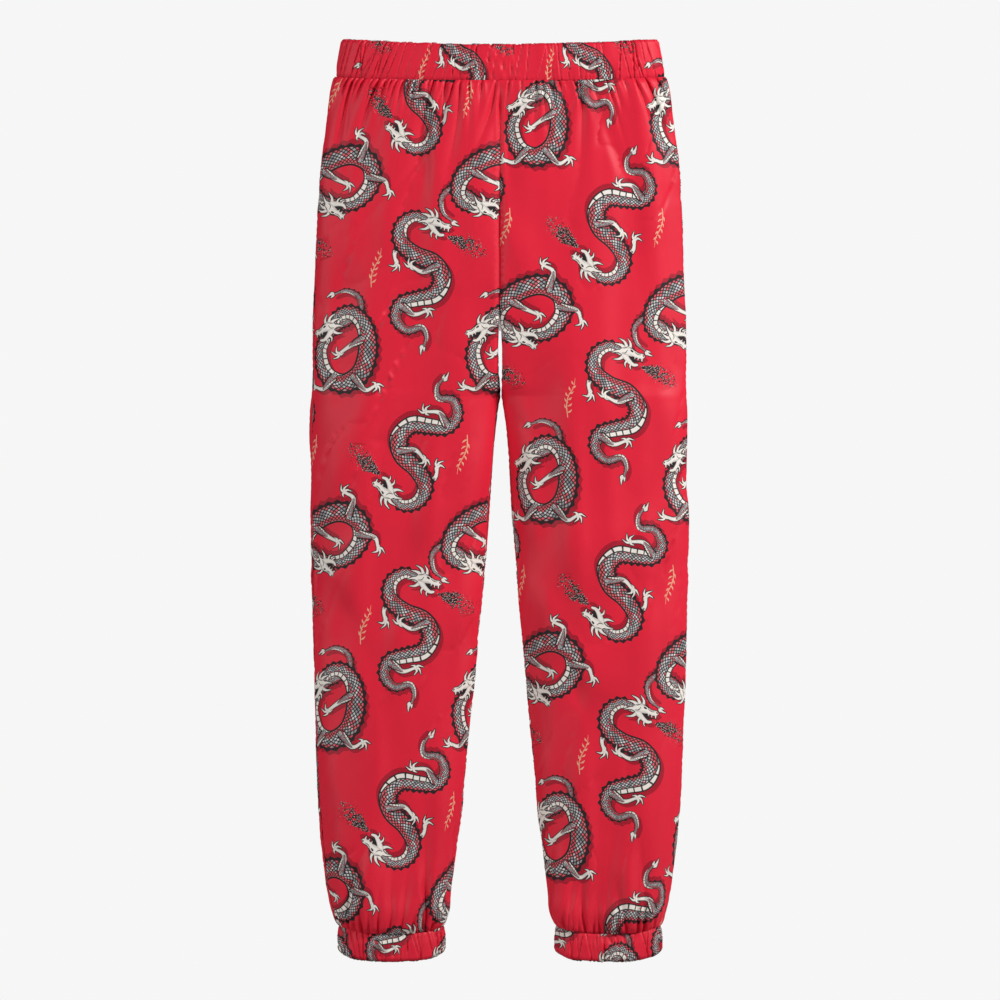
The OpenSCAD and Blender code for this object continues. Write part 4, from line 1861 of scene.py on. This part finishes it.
@dataclass(frozen=True)
class SatinFinish(Finish):
    """Printed satin: one side shiny and printed, the other duller and plain."""

    printed: bool

    def build(self, weave: bpy.types.NodeTree, serpents: bpy.types.NodeTree) -> bpy.types.Material:
        """Makes the material from the shared groups."""
        material, n, shader, shade = self.woven(weave, True, 0.00012, 0.2)
        cloudy = n.range(n.noise(n.uv("cloth"), 16.0, 3.0), 0.35, 0.7)
        tone = n.mix(n.math("MULTIPLY", cloudy, 0.35), self.colour, self.tint(0.82))
        # Painted shade: the weave's yarn crowns painted lighter than the gaps between yarns, with the slubs'
        # random tone.
        tone = n.mix(n.math("MULTIPLY", shade, 0.16), tone, self.tint(1.25))
        rough = n.range(shade, 0.0, 1.0, self.roughness - 0.05, self.roughness + 0.06)
        if self.printed:
            inks = n.add("ShaderNodeGroup", node_tree=serpents)
            n.join(tone, inks.inputs["Cloth Colour"])
            for source, target in (("cloth", "Cloth"), ("stroke", "Stroke"), ("ink", "Ink")):
                n.join(n.uv(source), inks.inputs[target])
            tone = inks.outputs["Colour"]
            rough = n.math("ADD", rough, n.math("MULTIPLY", inks.outputs["Inked"], 0.12))
        n.join(tone, shader.inputs["Base Color"])
        n.join(rough, shader.inputs["Roughness"])
        return material


@dataclass(frozen=True)
class YarnFinish(Finish):
    """Plain yarn goods: thread, elastic webbing and woven tape."""

    sheen: float = 0.3

    def build(self, weave: bpy.types.NodeTree) -> bpy.types.Material:
        """Makes the material from the shared weave."""
        material, n, shader, shade = self.woven(weave, False, 0.0002, 0.3)
        # Painted shade: the gaps between yarns painted darker than their crowns, with the slubs' random tone.
        n.join(n.mix(shade, self.tint(0.72), self.colour), shader.inputs["Base Color"])
        rough = n.range(shade, 0.0, 1.0, self.roughness, self.roughness + 0.12)
        n.join(rough, shader.inputs["Roughness"])
        n.join(self.sheen, shader.inputs["Sheen Weight"])
        return material


# ---------------------------------------------------------------- the stage


def light_stage(form: Form) -> None:
    """Plain pale floor, soft lights and the camera, square to the front."""
    backdrop, room_light, floor_gap = 0.922, 0.15, 0.004
    view_height, view_distance = 0.846, 3.0
    scene = bpy.context.scene
    scene.view_settings.view_transform = "Standard"
    world = bpy.data.worlds.new("studio")
    world.use_nodes = True
    n = Nodes(world.node_tree)
    seen, soft = n.add("ShaderNodeBackground"), n.add("ShaderNodeBackground")
    n.join((backdrop, backdrop, backdrop, 1), seen.inputs[0])
    n.join((room_light, room_light, room_light, 1), soft.inputs[0])
    pick = n.add("ShaderNodeMixShader")
    n.join(n.add("ShaderNodeLightPath").outputs["Is Camera Ray"], pick.inputs[0])
    n.join(soft.outputs[0], pick.inputs[1])
    n.join(seen.outputs[0], pick.inputs[2])
    n.join(pick.outputs[0], n.add("ShaderNodeOutputWorld").inputs[0])
    scene.world = world
    hem = -form.hem * MM
    bpy.ops.object.select_all(action="DESELECT")
    bpy.ops.mesh.primitive_plane_add(size=8, location=(0, 0, 0))
    floor = bpy.context.object
    floor.name = "floor"
    floor.data.transform(floor.matrix_world)
    for v in floor.data.vertices:
        v.co.z = hem - floor_gap
    paint = bpy.data.materials.new("floor_paint")
    paint.use_nodes = True
    n = Nodes(paint.node_tree)
    shader = n.add("ShaderNodeBsdfPrincipled")
    n.join((0.5, 0.5, 0.5, 1), shader.inputs["Base Color"])
    n.join(0.9, shader.inputs["Roughness"])
    n.join((0.6, 0.6, 0.6, 1), shader.inputs["Emission Color"])
    n.join(n.add("ShaderNodeLightPath").outputs["Is Camera Ray"], shader.inputs["Emission Strength"])
    n.join(shader.outputs[0], n.add("ShaderNodeOutputMaterial").inputs[0])
    floor.data.materials.append(paint)
    for name, place, size, power in (
        ("key", (1.7, -1.05, 0.75), 0.6, 53.0),
        ("fill", (-1.6, -1.2, 0.1), 1.2, 19.5),
        ("rim", (0.6, 1.9, 0.8), 1.4, 12.0),
    ):
        data = bpy.data.lights.new(name, "AREA")
        data.shape, data.size, data.energy = "SQUARE", size, power
        lamp = bpy.data.objects.new(name, data)
        lamp.location = place
        aim = Vector((0, 0, hem / 2)) - Vector(place)
        lamp.rotation_euler = aim.to_track_quat("-Z", "Y").to_euler()
        scene.collection.objects.link(lamp)
    data = bpy.data.cameras.new("camera")
    data.type, data.ortho_scale = "ORTHO", view_height
    camera = bpy.data.objects.new("camera", data)
    camera.location = (0, -view_distance, hem / 2)
    camera.rotation_euler = (math.pi / 2, 0, 0)
    scene.collection.objects.link(camera)
    scene.camera = camera


# ---------------------------------------------------------------- the whole


def across_hip(piece: bpy.types.Object) -> None:
    """Bakes the place of a piece that crosses a hip into its mesh, and puts it on no body."""
    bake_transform(piece)


def sew(
    cut: Cut, nodes: list[str], body: str, finishes: tuple, other: str = ""
) -> bpy.types.Object:
    """Builds a cut, hides the CAD nodes it stands for, and puts it on the body it rides on unless it crosses
    a hip.

    Args:
        cut: The cut to build.
        nodes: The CAD nodes it stands for.
        body: The body it rides on.
        finishes: Its outside and inside finishes.
        other: The leg's name, given if it crosses a hip; the piece then follows no leg and rides on no body.

    Returns:
        The piece.
    """
    piece = cut.build(*finishes)
    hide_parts(*nodes)
    if other:
        across_hip(piece)
    else:
        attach(piece, body)
    edge = cut.outline()
    float(cut.area() * MM * MM)
    return piece


RIGHT_FRONT_FOLDS = (
    Fold(63, 95, 92, 38, 5, -3.0),
    Fold(118, 105, 74, 34, 7, -2.2),
    Fold(132, 230, 78, 46, 10, -2.4),
    Fold(128, 492, 118, 44, 9, -2.8),
    Fold(30, 486, 52, 40, 15, 3.4),
    Fold(62, 430, 40, 46, 14, -2.4),
    Fold(105, 590, 93, 74, 9, 2.6),
    Fold(20, 330, 84, 60, 13, 2.2),
    Fold(75, 690, 96, 40, 12, -2.2),
    Fold(2, 66, 90, 40, 5, -1.8),
)
LEFT_FRONT_FOLDS = (
    Fold(6, 80, 88, 52, 6, -2.6),
    Fold(96, 88, 70, 34, 5, -2.6),
    Fold(14, 176, 72, 44, 8, 2.2),
    Fold(30, 292, 86, 40, 13, -3.0),
    Fold(40, 455, 55, 36, 14, -3.0),
    Fold(124, 392, -28, 40, 12, -2.4),
    Fold(70, 530, 44, 44, 12, 2.6),
    Fold(66, 556, 70, 18, 5, -1.6),
    Fold(118, 620, 84, 70, 10, 2.4),
    Fold(58, 300, 80, 60, 11, 2.0),
)
BACK_FOLDS = (
    Fold(40, 262, 24, 48, 10, -2.6),
    Fold(70, 300, 36, 50, 11, 2.6),
    Fold(60, 470, 50, 44, 14, 2.8),
    Fold(120, 440, 112, 44, 10, -2.4),
    Fold(100, 610, 92, 70, 10, 2.2),
)


def main() -> None:
    """Builds the trousers."""
    form = Form.from_frame()
    light_stage(form)
    weave = weave_group()
    serpents = print_group(scales_group())
    red, dull_red = (0.66, 0.013, 0.036, 1), (0.50, 0.012, 0.026, 1)
    printed = SatinFinish("printed_satin", red, 0.46, 0.00042, 0.1, True).build(weave, serpents)
    reverse = SatinFinish("satin_reverse", dull_red, 0.62, 0.00042, 0.1, False).build(weave, serpents)
    finishes = (printed, reverse)
    thread = YarnFinish("overlock_thread", (0.52, 0.012, 0.03, 1), 0.5, 0.0003, 0.4).build(weave)
    webbing = YarnFinish("elastic_web", (0.80, 0.79, 0.76, 1), 0.62, 0.0006, 0.5).build(weave)
    tape = YarnFinish("label_tape", (0.83, 0.82, 0.80, 1), 0.5, 0.0004, 0.3).build(weave)
    panels = [
        Panel(form, RIGHT, FRONT, Print((-68, -196)), 21, RIGHT_FRONT_FOLDS),
        Panel(form, LEFT, FRONT, Print((99, -306)), 37, LEFT_FRONT_FOLDS),
        Panel(form, RIGHT, BACK, Print((60, -250)), 53, BACK_FOLDS),
        Panel(form, LEFT, BACK, Print((-75, -210)), 71, BACK_FOLDS),
    ]
    for panel in panels:
        nodes = [f"{panel.quarter}_hip", f"{panel.quarter}_leg"]
        sew(panel.cut(), nodes, "hips", finishes, f"{panel.leg}_leg")
    waist = {
        "seam": form.waist_seam,
        "hem": 0.0,
        "middle": 0.0,
        "seam_size": (form.waist_half, form.waist_depth),
        "hem_size": (form.waist_half - 6, form.waist_depth - 2),
    }
    for name, angles, start, seed, lean, fan in (
        ("waistband_front", (215, 325), (-40, 10), 5, 0.17, -0.22),
        ("waistband_back", (-35, 215), (15, 30), 9, 0.0, 0.15),
    ):
        crease = Gathers(8.0, 120.0, 2.3, 0.5, seed, 0.11, 0.14, lean, fan, 0.0, 0.8)
        band = Band(f"{name}_cloth", form, Print(start), angles=angles, crease=crease, seed=seed, **waist)
        sew(band.cut(), [name], "hips", finishes)
    size = (form.cuff_half, form.cuff_depth)
    for side, sign in (("left", 1), ("right", -1)):
        crease = Gathers(5.2, 120.0, 2.4, 0.55, 15 + sign, 0.14, 0.16, 0.0, 0.1, 0.0, 0.8)
        cuff = Band(
            f"{side}_cuff_cloth",
            form,
            Print((-30 + 40 * sign, 20)),
            form.cuff_top,
            form.hem,
            sign * form.cuff_middle,
            size,
            size,
            (180, 540) if sign > 0 else (0, 360),
            crease,
            15 + sign,
            1.3,
        )
        sew(cuff.cut(), [f"{side}_cuff"], f"{side}_leg", finishes)
    trimmings = Trimmings(form, reverse, thread, webbing, tape)
    trimmings.edges()
    trimmings.rings()
    trimmings.blank_label()


if __name__ == "__main__":
    logging.basicConfig(level=logging.INFO, format="%(message)s")
    main()
